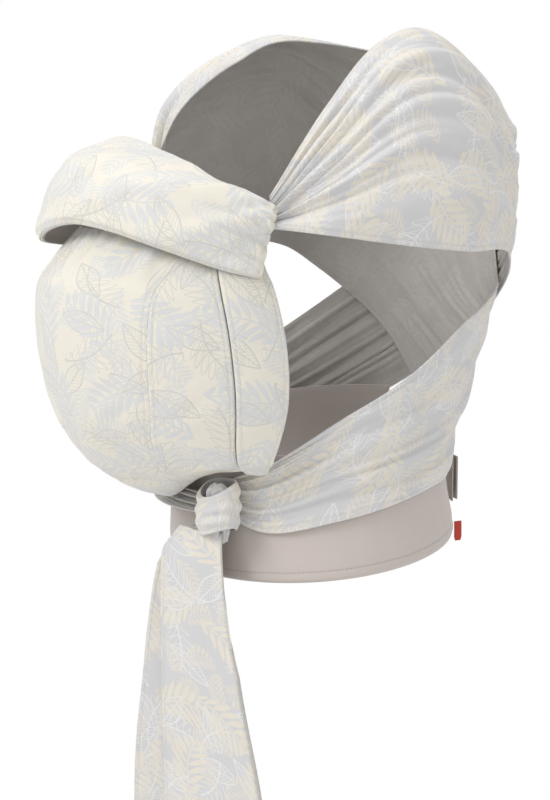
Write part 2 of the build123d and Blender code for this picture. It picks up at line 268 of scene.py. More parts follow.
# ------------------------------------------------------------------ meshes
@dataclass
class Creases:
    """Sharp valleys that run along a sheet, each where a fold is pressed in."""

    rows: tuple[tuple[float, float, float, float, float, float], ...]
    depth: float
    width: float

    def height(self, u: Array, v: Array) -> Array:
        """The valleys' depth, in millimetres, as a height of 0 or less.

        Each row holds where the crease starts and ends across the sheet, where
        along it the crease begins and fades, its depth and its width.

        Args:
            u: Shares along the sheet.
            v: Shares across it.

        Returns:
            One height for each crossing.
        """
        total = np.zeros_like(u)
        for start, end, begin, fade, deep, wide in self.rows:
            t = np.clip((u - begin) / max(fade - begin, 1e-6), 0, 1)
            line = start + (end - start) * t
            window = smooth(begin - 0.04, begin + 0.01, u) * (1 - smooth(fade - 0.12, fade, u))
            x = (v - line) / (self.width * wide)
            total -= self.depth * deep * window / (1 + x * x) ** 1.2
        return total


def build_mesh(
    name: str, points: Array, faces: Array, uvs: dict[str, Array], slots: Array
) -> bpy.types.Object:
    """Make a smooth mesh object and link it into the scene.

    Args:
        name: The object's name.
        points: Its vertices, in metres.
        faces: Four vertex numbers for each face.
        uvs: Two numbers for each vertex, for each UV map.
        slots: Each face's material slot.

    Returns:
        The object.
    """
    mesh = bpy.data.meshes.new(name)
    mesh.from_pydata(points.tolist(), [], faces.tolist())
    mesh.polygons.foreach_set("use_smooth", np.ones(len(faces), bool))
    mesh.polygons.foreach_set("material_index", slots.astype(np.int32))
    loops = np.zeros(len(mesh.loops), np.int32)
    mesh.loops.foreach_get("vertex_index", loops)
    for layer, values in uvs.items():
        mesh.uv_layers.new(name=layer).data.foreach_set(
            "uv", values[loops].astype(np.float32).ravel()
        )
    mesh.update()
    obj = bpy.data.objects.new(name, mesh)
    bpy.context.scene.collection.objects.link(obj)
    return obj


def quads(rows: int, columns: int, start: int, turned: bool) -> Array:
    """The faces of a grid of crossings, numbered from start.

    Args:
        rows: Crossings along the grid.
        columns: Crossings across it.
        start: The number of its first crossing.
        turned: Whether the faces look the other way.

    Returns:
        Four numbers for each face.
    """
    i, j = np.meshgrid(np.arange(rows), np.arange(columns), indexing="ij")
    a = (start + i * (columns + 1) + j).ravel()
    corners = [a, a + columns + 1, a + columns + 2, a + 1]
    return np.stack(corners[::-1] if turned else corners, axis=-1)


def rim_faces(loop: Array, start: int, turned: bool) -> Array:
    """The faces that join the edges of two like grids, start vertices apart.

    Args:
        loop: The numbers round the first grid's edge.
        start: How many vertices on the second grid lies.
        turned: Whether the faces look the other way.

    Returns:
        Four numbers for each face.
    """
    a, b = loop, np.roll(loop, -1)
    corners = [a, b, b + start, a + start]
    return np.stack(corners if turned else corners[::-1], axis=-1)


def sheet_mesh(
    name: str,
    near: Array,
    far: Array,
    dressed: Sequence[bpy.types.Material],
    turned: bool = False,
    shift: tuple[float, float] = (0, 0),
) -> bpy.types.Object:
    """Make a closed sheet from its two faces.

    Args:
        name: The object's name.
        near: Grid of points of the face that shows, in millimetres.
        far: The same grid on the other face.
        dressed: Materials of the near face, the far face and the edges.
        turned: True where the grid's own normal points into the sheet.
        shift: Where on the cloth's pattern the sheet was cut, in metres.

    Returns:
        The sheet, with the maps "cloth" (metres along and across) and "hem"
        (metres along and from the nearer long edge).
    """
    rows, columns = near.shape[0] - 1, near.shape[1] - 1
    near, far = near * MM, far * MM
    along = np.broadcast_to(
        lengths(near, 0)[:, columns // 2][:, None], near.shape[:2]
    )
    across = lengths(near, 1)
    width = across[:, -1:]
    cloth = np.stack([along + shift[0], across - width / 2 + shift[1]], axis=-1)
    hem = np.stack([lengths(near, 0), np.minimum(across, width - across)], axis=-1)
    count = (rows + 1) * (columns + 1)
    number = np.arange(count).reshape(rows + 1, columns + 1)
    loop = np.concatenate(
        [number[:-1, 0], number[-1, :-1], number[:0:-1, -1], number[0, :0:-1]]
    )
    faces = [
        quads(rows, columns, 0, turned),
        quads(rows, columns, count, not turned),
        rim_faces(loop, count, turned),
    ]
    slots = np.concatenate([np.full(len(f), k) for k, f in enumerate(faces)])
    obj = build_mesh(
        name,
        np.concatenate([near.reshape(-1, 3), far.reshape(-1, 3)]),
        np.concatenate(faces),
        {
            "cloth": np.tile(cloth.reshape(-1, 2), (2, 1)),
            "hem": np.tile(hem.reshape(-1, 2), (2, 1)),
        },
        slots,
    )
    for material in dressed:
        obj.data.materials.append(material)
    return obj


def declare(
    obj: bpy.types.Object, body: str, slot: str, *nodes: str
) -> bpy.types.Object:
    """Ride a piece on its body, and let it stand for its CAD nodes.

    Args:
        obj: The piece.
        body: The body it rides.
        slot: Its finish; not used.
        nodes: The CAD nodes it stands for.

    Returns:
        The same piece.
    """
    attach(obj, body)
    if nodes:
        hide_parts(*nodes)
    LOG.info("%s rides on %s and stands for %s", obj.name, body, ", ".join(nodes) or "nothing")
    return obj


# ------------------------------------------------------------------ finishes
class Graph:
    """Short hand for wiring a material's or a group's node tree."""

    def __init__(self, tree: bpy.types.NodeTree) -> None:
        """Start on an empty tree.

        Args:
            tree: The tree to be filled.
        """
        self.tree = tree
        tree.nodes.clear()

    def node(self, kind: str, **settings: object) -> bpy.types.Node:
        """Add a node and set its properties.

        Args:
            kind: The node's type, without its "ShaderNode" start, if it has one.
            settings: Properties of the node.

        Returns:
            The node.
        """
        made = self.tree.nodes.new(kind if kind.startswith("NodeGroup") else f"ShaderNode{kind}")
        for name, value in settings.items():
            setattr(made, name, value)
        return made

    def plug(self, socket: bpy.types.NodeSocket, value: object) -> None:
        """Link a socket, or set its own number where value isn't a socket."""
        if isinstance(value, bpy.types.NodeSocket):
            self.tree.links.new(value, socket)
        elif value is not None:
            socket.default_value = value

    def math(self, operation: str, *values: object, clamp: bool = False) -> bpy.types.NodeSocket:
        """One step of arithmetic on sockets or numbers.

        Args:
            operation: The step's name in Blender.
            values: What goes in, in order.
            clamp: Whether it is kept between 0 and 1.

        Returns:
            The step's output.
        """
        made = self.node("Math", operation=operation, use_clamp=clamp)
        for socket, value in zip(made.inputs, values):
            self.plug(socket, value)
        return made.outputs[0]

    def step(self, value: object, low: float, high: float) -> bpy.types.NodeSocket:
        """A soft step from 0 at low to 1 at high, or the other way round.

        Args:
            value: What is stepped.
            low: Where the step is 0.
            high: Where it is 1.

        Returns:
            The step's output.
        """
        made = self.node("MapRange", interpolation_type="SMOOTHSTEP")
        if low > high:
            low, high = high, low
            made.inputs["To Min"].default_value, made.inputs["To Max"].default_value = 1, 0
        made.inputs["From Min"].default_value = low
        made.inputs["From Max"].default_value = high
        self.plug(made.inputs["Value"], value)
        return made.outputs["Result"]

    def mix(self, factor: object, a: object, b: object) -> bpy.types.NodeSocket:
        """A blend of two colours, each a socket or three numbers.

        Args:
            factor: How much of b there is.
            a: The first colour.
            b: The second.

        Returns:
            The blend.
        """
        made = self.node("Mix", data_type="RGBA")
        self.plug(made.inputs["Factor"], factor)
        for name, value in (("A", a), ("B", b)):
            socket = next(s for s in made.inputs if s.name == name and s.type == "RGBA")
            self.plug(socket, (*value, 1) if isinstance(value, tuple) else value)
        return next(s for s in made.outputs if s.type == "RGBA")

    def use(self, group: bpy.types.NodeTree, **values: object) -> bpy.types.Node:
        """Place a node group and set its inputs by name.

        Args:
            group: The node group.
            values: Its inputs, each a socket or a plain value.

        Returns:
            The placed node.
        """
        made = self.node("Group", node_tree=group)
        for name, value in values.items():
            self.plug(made.inputs[name], value)
        return made


def new_group(name: str, inputs: dict[str, float | None], outputs: Sequence[str]) -> tuple:
    """Start a shader node group.

    Args:
        name: The group's name.
        inputs: Each input's name and its number, or None for a vector.
        outputs: The names of the numbers that it puts out.

    Returns:
        The group, its graph, and its input and output nodes.
    """
    tree = bpy.data.node_groups.new(name, "ShaderNodeTree")
    for label, value in inputs.items():
        kind = "NodeSocketVector" if value is None else "NodeSocketFloat"
        socket = tree.interface.new_socket(label, in_out="INPUT", socket_type=kind)
        if value is not None:
            socket.default_value = value
    for label in outputs:
        tree.interface.new_socket(label, in_out="OUTPUT", socket_type="NodeSocketFloat")
    graph = Graph(tree)
    return tree, graph, graph.node("NodeGroupInput"), graph.node("NodeGroupOutput")


def spray(g: Graph, vector: object, turn: object, reach: float, leaflets: float) -> tuple:
    """A stem with leaflets on both sides, lying along the turned X axis.

    Args:
        g: The tree that it is drawn in.
        vector: Place from the middle of the spray.
        turn: How far it is turned, in radians.
        reach: Half of its length.
        leaflets: How many leaflets it has on a side.

    Returns:
        The leaves' mask and the mask of their outlines.
    """
    turned = g.node("VectorRotate", rotation_type="Z_AXIS")
    g.plug(turned.inputs["Vector"], vector)
    g.plug(turned.inputs["Angle"], turn)
    place = g.node("SeparateXYZ")
    g.plug(place.inputs[0], turned.outputs[0])
    bent = g.math("MULTIPLY", g.math("POWER", place.outputs[0], 2), 0.6)
    side = g.math("ABSOLUTE", g.math("ADD", place.outputs[1], bent))
    root = g.math("SUBTRACT", place.outputs[0], g.math("MULTIPLY", side, 0.8))
    share = g.math("DIVIDE", g.math("ADD", root, reach), 2 * reach, clamp=True)
    swell = g.math("SINE", g.math("MULTIPLY", share, math.pi))
    length = g.math("MULTIPLY_ADD", g.math("POWER", swell, 0.55), reach * 0.62, 0.0001)
    along = g.math("DIVIDE", side, length, clamp=True)
    belly = g.math("POWER", g.math("SINE", g.math("MULTIPLY", along, math.pi)), 0.8)
    half = g.math("MULTIPLY", belly, 0.43)
    beat = g.math("FRACT", g.math("MULTIPLY", share, leaflets))
    off = g.math("ABSOLUTE", g.math("SUBTRACT", beat, 0.5))
    inside = g.math("SUBTRACT", half, off)
    on_stem = g.math(
        "MULTIPLY",
        g.step(side, 0.016, 0.008),
        g.step(g.math("ABSOLUTE", place.outputs[0]), reach, reach * 0.95),
    )
    leaf = g.math("MAXIMUM", g.step(inside, 0.0, 0.08), on_stem)
    edge = g.math("ABSOLUTE", g.math("SUBTRACT", inside, 0.03))
    inked = g.math("MULTIPLY", g.step(edge, 0.07, 0.03), g.step(half, 0.02, 0.08))
    return leaf, g.math("MAXIMUM", inked, on_stem)


def blade(g: Graph, vector: object, turn: object, reach: float, plump: float) -> tuple:
    """One broad pointed leaf with side veins.

    Args:
        g: The tree that it is drawn in.
        vector: Place from the middle of the leaf.
        turn: How far it is turned, in radians.
        reach: Half of its length.
        plump: Its half width.

    Returns:
        The leaf's mask and the mask of its outline and veins.
    """
    turned = g.node("VectorRotate", rotation_type="Z_AXIS")
    g.plug(turned.inputs["Vector"], vector)
    g.plug(turned.inputs["Angle"], turn)
    place = g.node("SeparateXYZ")
    g.plug(place.inputs[0], turned.outputs[0])
    side = g.math("ABSOLUTE", place.outputs[1])
    share = g.math("DIVIDE", g.math("ADD", place.outputs[0], reach), 2 * reach, clamp=True)
    belly = g.math("POWER", g.math("SINE", g.math("MULTIPLY", share, math.pi)), 1.2)
    inside = g.math("SUBTRACT", g.math("MULTIPLY", belly, plump), side)
    leaf = g.step(inside, 0.0, 0.012)
    edge = g.step(g.math("ABSOLUTE", inside), 0.016, 0.006)
    root = g.math("SUBTRACT", place.outputs[0], g.math("MULTIPLY", side, 1.1))
    beat = g.math("ABSOLUTE", g.math("SUBTRACT", g.math("FRACT", g.math("MULTIPLY", root, 13)), 0.5))
    veins = g.math("MULTIPLY", g.step(beat, 0.1, 0.04), leaf)
    rib = g.math("MULTIPLY", g.step(side, 0.012, 0.005), leaf)
    lines = g.math("MAXIMUM", g.math("MAXIMUM", edge, veins), rib)
    return leaf, g.math("MULTIPLY", lines, g.step(belly, 0.02, 0.1))


class Motif(Enum):
    """The kinds of leaf in the cloth's all-over foliage."""

    SPRAY = "spray"
    BLADE = "blade"


def scattered(g: Graph, vector: object, scale: float, motif: Motif, offset: float) -> tuple:
    """One kind of leaf, scattered over the cloth and turned each its own way.

    Args:
        g: The graph to build in.
        vector: Where on the cloth.
        scale: How close the leaves stand.
        motif: The kind of leaf.
        offset: What sets one scattering apart from the next.

    Returns:
        The leaf's outputs.
    """
    moved = g.node("VectorMath", operation="MULTIPLY_ADD")
    g.plug(moved.inputs[0], vector)
    moved.inputs[1].default_value = (scale, scale, 0)
    moved.inputs[2].default_value = (offset, offset * 1.7, 0)
    cells = g.node("TexVoronoi", voronoi_dimensions="2D", feature="F1")
    cells.inputs["Scale"].default_value = 1
    cells.inputs["Randomness"].default_value = 0.55
    g.plug(cells.inputs["Vector"], moved.outputs[0])
    local = g.node("VectorMath", operation="SUBTRACT")
    g.plug(local.inputs[0], moved.outputs[0])
    g.plug(local.inputs[1], cells.outputs["Position"])
    chance = g.node("SeparateColor")
    g.plug(chance.inputs[0], cells.outputs["Color"])
    turn = g.math("MULTIPLY", chance.outputs[0], 2 * math.pi)
    if motif is Motif.SPRAY:
        return spray(g, local.outputs[0], turn, 0.5, 8)
    return blade(g, local.outputs[0], turn, 0.46, 0.17)


def foliage_group() -> bpy.types.NodeTree:
    """The woven foliage: leaves in the second colour, and outlines of others.

    Returns:
        The node group.
    """
    tree, g, given, put = new_group("foliage", {"Vector": None}, ["Leaf", "Line"])
    vector = given.outputs["Vector"]
    wide = scattered(g, vector, 15.0, Motif.SPRAY, 3.1)
    small = scattered(g, vector, 27.0, Motif.SPRAY, 11.7)
    broad = scattered(g, vector, 19.0, Motif.BLADE, 7.3)
    outline = scattered(g, vector, 17.0, Motif.SPRAY, 23.9)
    free = g.math("SUBTRACT", 1, wide[0], clamp=True)
    leaf = g.math("MAXIMUM", wide[0], g.math("MULTIPLY", small[0], g.math("MULTIPLY", free, 0.75)))
    line = g.math("MAXIMUM", broad[1], outline[1])
    g.plug(put.inputs["Leaf"], leaf)
    g.plug(put.inputs["Line"], g.math("MULTIPLY", line, g.math("SUBTRACT", 1, g.math("MULTIPLY", leaf, 0.6))))
    return tree


def weave_group() -> bpy.types.NodeTree:
    """Crossed threads, with the loose crinkle of washed cloth.

    Returns:
        The node group.
    """
    tree, g, given, put = new_group(
        "weave", {"Vector": None, "Threads": 1600.0, "Crinkle": 0.5}, ["Height", "Mottle"]
    )
    place = g.node("SeparateXYZ")
    g.plug(place.inputs[0], given.outputs["Vector"])
    beat = g.math("MULTIPLY", given.outputs["Threads"], math.pi)
    threads = [g.math("SINE", g.math("MULTIPLY", place.outputs[k], beat)) for k in range(2)]
    crossing = g.math("MULTIPLY_ADD", g.math("MULTIPLY", *threads), 0.5, 0.5)
    soft = g.node("TexNoise")
    g.plug(soft.inputs["Vector"], given.outputs["Vector"])
    soft.inputs["Scale"].default_value = 190
    soft.inputs["Detail"].default_value = 3
    drawn = g.node("Mapping")
    g.plug(drawn.inputs["Vector"], given.outputs["Vector"])
    drawn.inputs["Scale"].default_value = (38, 120, 1)
    pulled = g.node("TexNoise")
    g.plug(pulled.inputs["Vector"], drawn.outputs[0])
    pulled.inputs["Scale"].default_value = 1
    pulled.inputs["Detail"].default_value = 2
    grain = g.math("MULTIPLY", soft.outputs["Fac"], 0.35)
    crinkle = g.math("MULTIPLY_ADD", pulled.outputs["Fac"], 0.65, grain)
    height = g.math("MULTIPLY_ADD", crinkle, given.outputs["Crinkle"], g.math("MULTIPLY", crossing, 0.12))
    g.plug(put.inputs["Height"], height)
    checked = g.math("MULTIPLY", crossing, 0.4)
    g.plug(put.inputs["Mottle"], g.math("MULTIPLY_ADD", soft.outputs["Fac"], 0.6, checked))
    return tree


def stitch_group() -> bpy.types.NodeTree:
    """A row of stitches that runs beside an edge, and the dent it pulls.

    Returns:
        The node group.
    """
    tree, g, given, put = new_group(
        "stitches", {"Vector": None, "Inset": 0.005, "Pitch": 0.003, "Half": 0.00045}, ["Thread", "Dent"]
    )
    place = g.node("SeparateXYZ")
    g.plug(place.inputs[0], given.outputs["Vector"])
    off = g.math("ABSOLUTE", g.math("SUBTRACT", place.outputs[1], given.outputs["Inset"]))
    share = g.math("DIVIDE", off, given.outputs["Half"])
    beat = g.math("FRACT", g.math("DIVIDE", place.outputs[0], given.outputs["Pitch"]))
    dash = g.step(g.math("ABSOLUTE", g.math("SUBTRACT", beat, 0.5)), 0.40, 0.30)
    g.plug(put.inputs["Thread"], g.math("MULTIPLY", g.step(share, 1.2, 0.8), dash))
    g.plug(put.inputs["Dent"], g.step(share, 4.0, 0.0))
    return tree


@dataclass
class Effects:
    """The node groups that several finishes share."""

    foliage: bpy.types.NodeTree = field(default_factory=foliage_group)
    weave: bpy.types.NodeTree = field(default_factory=weave_group)
    stitches: bpy.types.NodeTree = field(default_factory=stitch_group)


def start_material(name: str) -> tuple[bpy.types.Material, Graph, bpy.types.Node]:
    """Start a material with a Principled shader on its output.

    Args:
        name: Its name.

    Returns:
        The material, its graph and its shader.
    """
    material = bpy.data.materials.new(name)
    material.use_nodes = True
    g = Graph(material.node_tree)
    shader = g.node("BsdfPrincipled")
    g.plug(g.node("OutputMaterial").inputs["Surface"], shader.outputs[0])
    return material, g, shader


def uv_map(g: Graph, name: str) -> bpy.types.NodeSocket:
    """The named UV map's own coordinates, in metres on the cloth."""
    return g.node("UVMap", uv_map=name).outputs[0]


@dataclass(frozen=True)
class WovenPrint:
    """Two-colour cloth with foliage woven in, and a hem along its long edges."""

    name: str
    ground: Colour
    leaf: Colour
    line: Colour
    leaf_share: float = 0.85
    line_share: float = 0.75
    crinkle: float = 0.5
    relief: float = 0.0009
    hem_inset: float = 0.0045
    hem_thread_and_shade: float = 0.35
    roughness: float = 0.86

    def make(self, effects: Effects) -> bpy.types.Material:
        """Build the material.

        Args:
            effects: The shared node groups.

        Returns:
            The material.
        """
        material, g, shader = start_material(self.name)
        cloth = uv_map(g, "cloth")
        leaves = g.use(effects.foliage, Vector=cloth)
        weave = g.use(effects.weave, Vector=cloth, Crinkle=self.crinkle)
        row = g.use(effects.stitches, Vector=uv_map(g, "hem"), Inset=self.hem_inset)
        colour = g.mix(g.math("MULTIPLY", leaves.outputs["Leaf"], self.leaf_share), self.ground, self.leaf)
        colour = g.mix(g.math("MULTIPLY", leaves.outputs["Line"], self.line_share), colour, self.line)
        shade = tuple(0.86 * c for c in self.ground)
        colour = g.mix(g.math("MULTIPLY", weave.outputs["Mottle"], 0.22), colour, shade)
        # Painted shade: the stitch row's dent is darkened in the colour, as well as pressed in by the bump;
        # the thread below is real.
        colour = g.mix(g.math("MULTIPLY", row.outputs["Dent"], self.hem_thread_and_shade * 0.5), colour, shade)
        colour = g.mix(g.math("MULTIPLY", row.outputs["Thread"], self.hem_thread_and_shade), colour, (0.62, 0.6, 0.58))
        g.plug(shader.inputs["Base Color"], colour)
        raised = g.math("MULTIPLY_ADD", leaves.outputs["Leaf"], 0.08, weave.outputs["Height"])
        raised = g.math("SUBTRACT", raised, g.math("MULTIPLY", row.outputs["Dent"], 0.45))
        bump = g.node("Bump")
        bump.inputs["Strength"].default_value = 0.8
        bump.inputs["Distance"].default_value = self.relief
        g.plug(bump.inputs["Height"], raised)
        g.plug(shader.inputs["Normal"], bump.outputs[0])
        shader.inputs["Roughness"].default_value = self.roughness
        shader.inputs["Sheen Weight"].default_value = 0.25
        shader.inputs["Sheen Roughness"].default_value = 0.5
        return material


@dataclass(frozen=True)
class PlainWeave:
    """Cloth of one colour, such as canvas, tape or batting."""

    name: str
    colour: Colour
    crinkle: float = 0.25
    relief: float = 0.0006
    inset: float = 0.009
    pitch: float = 0.0036
    thread: Colour = (0.5, 0.44, 0.4)
    thread_share: float = 0.0
    mottle: float = 0.25
    roughness: float = 0.88
    sheen: float = 0.2

    def make(self, effects: Effects) -> bpy.types.Material:
        """Build the material.

        Args:
            effects: The shared node groups.

        Returns:
            The material.
        """
        material, g, shader = start_material(self.name)
        weave = g.use(effects.weave, Vector=uv_map(g, "cloth"), Crinkle=self.crinkle)
        shade = tuple(0.8 * c for c in self.colour)
        colour = g.mix(g.math("MULTIPLY", weave.outputs["Mottle"], self.mottle), self.colour, shade)
        raised = weave.outputs["Height"]
        if self.thread_share:
            row = g.use(effects.stitches, Vector=uv_map(g, "hem"), Inset=self.inset, Pitch=self.pitch)
            # Painted shade: the stitch row's dent is darkened in the colour, as well as pressed in by the
            # bump.
            colour = g.mix(g.math("MULTIPLY", row.outputs["Dent"], 0.25), colour, shade)
            colour = g.mix(g.math("MULTIPLY", row.outputs["Thread"], self.thread_share), colour, self.thread)
            raised = g.math("SUBTRACT", raised, g.math("MULTIPLY", row.outputs["Dent"], 0.6))
        g.plug(shader.inputs["Base Color"], colour)
        bump = g.node("Bump")
        bump.inputs["Strength"].default_value = 0.7
        bump.inputs["Distance"].default_value = self.relief
        g.plug(bump.inputs["Height"], raised)
        g.plug(shader.inputs["Normal"], bump.outputs[0])
        shader.inputs["Roughness"].default_value = self.roughness
        shader.inputs["Sheen Weight"].default_value = self.sheen
        shader.inputs["Sheen Roughness"].default_value = 0.5
        return material


@dataclass(frozen=True)
class MouldedPlastic:
    """Satin moulded plastic with a fine spark-eroded grain."""

    name: str = "buckle_plastic"
    colour: Colour = (0.115, 0.1, 0.092)
    roughness: float = 0.42

    def make(self, effects: Effects) -> bpy.types.Material:
        """Build the material.

        Args:
            effects: The shared node groups, of which plastic needs none.

        Returns:
            The material.
        """
        material, g, shader = start_material(self.name)
        place = g.node("TexCoord").outputs["Object"]
        grain = g.node("TexNoise")
        g.plug(grain.inputs["Vector"], place)
        grain.inputs["Scale"].default_value = 2600
        flow = g.node("TexNoise")
        g.plug(flow.inputs["Vector"], place)
        flow.inputs["Scale"].default_value = 60
        pale = tuple(1.25 * c for c in self.colour)
        g.plug(shader.inputs["Base Color"], g.mix(flow.outputs["Fac"], self.colour, pale))
        g.plug(
            shader.inputs["Roughness"],
            g.math("MULTIPLY_ADD", flow.outputs["Fac"], 0.14, self.roughness - 0.07),
        )
        bump = g.node("Bump")
        bump.inputs["Strength"].default_value = 0.25
        bump.inputs["Distance"].default_value = 0.00012
        g.plug(bump.inputs["Height"], grain.outputs["Fac"])
        g.plug(shader.inputs["Normal"], bump.outputs[0])
        return material


@dataclass
class Finishes:
    """Every finish of the carrier, made once."""

    effects: Effects = field(default_factory=Effects)
    pouch: bpy.types.Material = field(init=False)
    strap: bpy.types.Material = field(init=False)
    strap_inside_painted_shade: bpy.types.Material = field(init=False)
    lining: bpy.types.Material = field(init=False)
    belt: bpy.types.Material = field(init=False)
    belt_inside: bpy.types.Material = field(init=False)
    padding: bpy.types.Material = field(init=False)
    webbing: bpy.types.Material = field(init=False)
    tape: bpy.types.Material = field(init=False)
    plastic: bpy.types.Material = field(init=False)

    def __post_init__(self) -> None:
        """Make the materials."""
        makers = {
            "pouch": WovenPrint("pouch_cloth", (0.83, 0.79, 0.69), (0.685, 0.70, 0.72), (0.56, 0.56, 0.56)),
            "strap": WovenPrint("strap_cloth", (0.66, 0.655, 0.66), (0.82, 0.755, 0.63), (0.88, 0.87, 0.85)),
            # The strap's inner face is a darker taupe copy of the strap cloth; its darkness is painted shade
            # for the inside of the wrap.
            "strap_inside_painted_shade": WovenPrint(
                "strap_reverse_painted_shade", (0.50, 0.475, 0.445), (0.57, 0.545, 0.51), (0.60, 0.58, 0.55), 0.6, 0.4
            ),
            "lining": PlainWeave("lining_cloth", (0.5, 0.47, 0.44)),
            "belt": PlainWeave(
                "belt_canvas", (0.60, 0.535, 0.495), crinkle=0.12, thread=(0.42, 0.36, 0.33), thread_share=0.8
            ),
            "belt_inside": PlainWeave("belt_lining", (0.47, 0.42, 0.385), crinkle=0.2),
            "padding": PlainWeave("padding_foam", (0.85, 0.84, 0.80), crinkle=0.6, mottle=0.15),
            "webbing": PlainWeave("ribbed_webbing", (0.42, 0.37, 0.33), crinkle=0.1, relief=0.0009),
            "tape": PlainWeave("red_tape", (0.5, 0.045, 0.03), crinkle=0.1),
            "plastic": MouldedPlastic(),
        }
        for name, maker in makers.items():
            setattr(self, name, maker.make(self.effects))


# ------------------------------------------------------------------ the belt
@dataclass
class Belt:
    """The padded waistband: cover, foam and lining, and the red pull tab."""

    height: float = 104
    tilt: float = 7.5  # the front sits lower than the back, in degrees
    end_angle: float = 156
    lining_off: float = 1.0
    sunk: float = 0.8  # the filling's middle lies this far inside the room's
    seam_share: float = 0.16  # how full the belt stays at its seams
    stitch_inset: float = 9.0
    stitch_dent: float = 0.9
    stitch_width: float = 2.4
    pucker: float = 0.35
    tab_angle: float = 151
    tab_width: float = 7
    tab_length: float = 17
    tab_turn: float = 58  # the tab is twisted away from the belt, in degrees

    def point(self, angle: Array, share: Array, off: Array | float) -> Array:
        """A point of the belt, share of its height up from its lower edge.

        Args:
            angle: Angles round the wearer, in degrees.
            share: Shares of the height.
            off: How far off the body, in millimetres.

        Returns:
            The points.
        """
        first = BODY.around(angle, self.height * (share - 0.5), off)
        return BODY.around(angle, first[..., 2] + first[..., 1] * math.tan(math.radians(self.tilt)), off)

    def skin(self, share_of_room: float, rows: int = 200, columns: int = 28) -> Array:
        """One face of the belt, from its inner side at 0 to its outer side at 1.

        Args:
            share_of_room: Which face.
            rows: Crossings round the belt.
            columns: Crossings up it.

        Returns:
            A grid of points.
        """
        u, v = grid(rows, columns)
        edge = np.abs(2 * v - 1)
        ends = np.abs(2 * u - 1)
        plump = (1 - edge**7) ** 0.6 * (1 - ends**40) ** 0.6
        middle = (self.lining_off + BAND_OUTSIDE) / 2 - self.sunk
        half = (BAND_OUTSIDE - self.lining_off) / 2
        pucker = self.pucker * ripple(u, v, 5, 6, 26, 1.4) * plump
        dent = self.stitch_dent * sum(
            bell(self.height * share, self.stitch_inset, self.stitch_width) for share in (v, 1 - v)
        )
        full = self.seam_share + (1 - self.seam_share) * plump
        puff = (2 * share_of_room - 1) * (half * full - dent)
        return self.point(self.end_angle * (2 * u - 1), v, middle + puff + pucker)

    def build(self, finishes: Finishes) -> None:
        """Make the belt's pieces and dress them.

        Args:
            finishes: What the pieces are made of.
        """
        outer, inner = self.skin(1.0), self.skin(0.0)
        depth = inner - outer
        cover = sheet_mesh(
            "belt_cover", outer, outer + depth * 0.16, [finishes.belt, finishes.belt_inside, finishes.belt]
        )
        declare(cover, "root", "belt_cloth", "waistband_cover")
        lining = sheet_mesh(
            "belt_lining", inner - depth * 0.14, inner,
            [finishes.belt_inside, finishes.belt_inside, finishes.belt],
        )
        declare(lining, "root", "belt_cloth", "waistband_lining")
        pad = sheet_mesh("belt_pad", outer + depth * 0.24, outer + depth * 0.78, [finishes.padding] * 3)
        declare(pad, "root", "padding", "waistband_pad")
        self.build_tab(finishes)

    def build_tab(self, finishes: Finishes) -> None:
        """Make the red tab, a folded bit of tape that hangs off the lower edge.

        Args:
            finishes: What the pieces are made of.
        """
        u, v = grid(16, 8)
        a = math.radians(self.tab_angle)
        lowest, highest = (np.array(corner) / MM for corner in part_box("red_tab"))
        middle = (lowest + highest) / 2
        root = np.array([middle[0], middle[1], highest[2]])
        out = np.array([math.sin(a), -math.cos(a), 0])
        turn = math.radians(self.tab_turn)
        side = np.array([math.cos(a), math.sin(a), 0])
        side, out = side * math.cos(turn) + out * math.sin(turn), out * math.cos(turn) - side * math.sin(turn)
        root = root + (side - out) * 1.5
        width = self.tab_width / 2 * (2 * v - 1) * (1 - 0.25 * smooth(0.8, 1, u))
        curl = 0.35 * np.sin(2.2 * u) - 0.2
        near = (
            root
            + side * width[..., None]
            + np.array([0, 0, -self.tab_length]) * u[..., None]
            + out * (curl + 0.6)[..., None]
        )
        tab = sheet_mesh("pull_tab", near, near - out * 1.2, [finishes.tape] * 3)
        declare(tab, "tab", "tab_red", "red_tab")


# ------------------------------------------------------------------ the straps
class Side(Enum):
    """The wearer's side that a piece starts from."""

    LEFT = 1
    RIGHT = -1


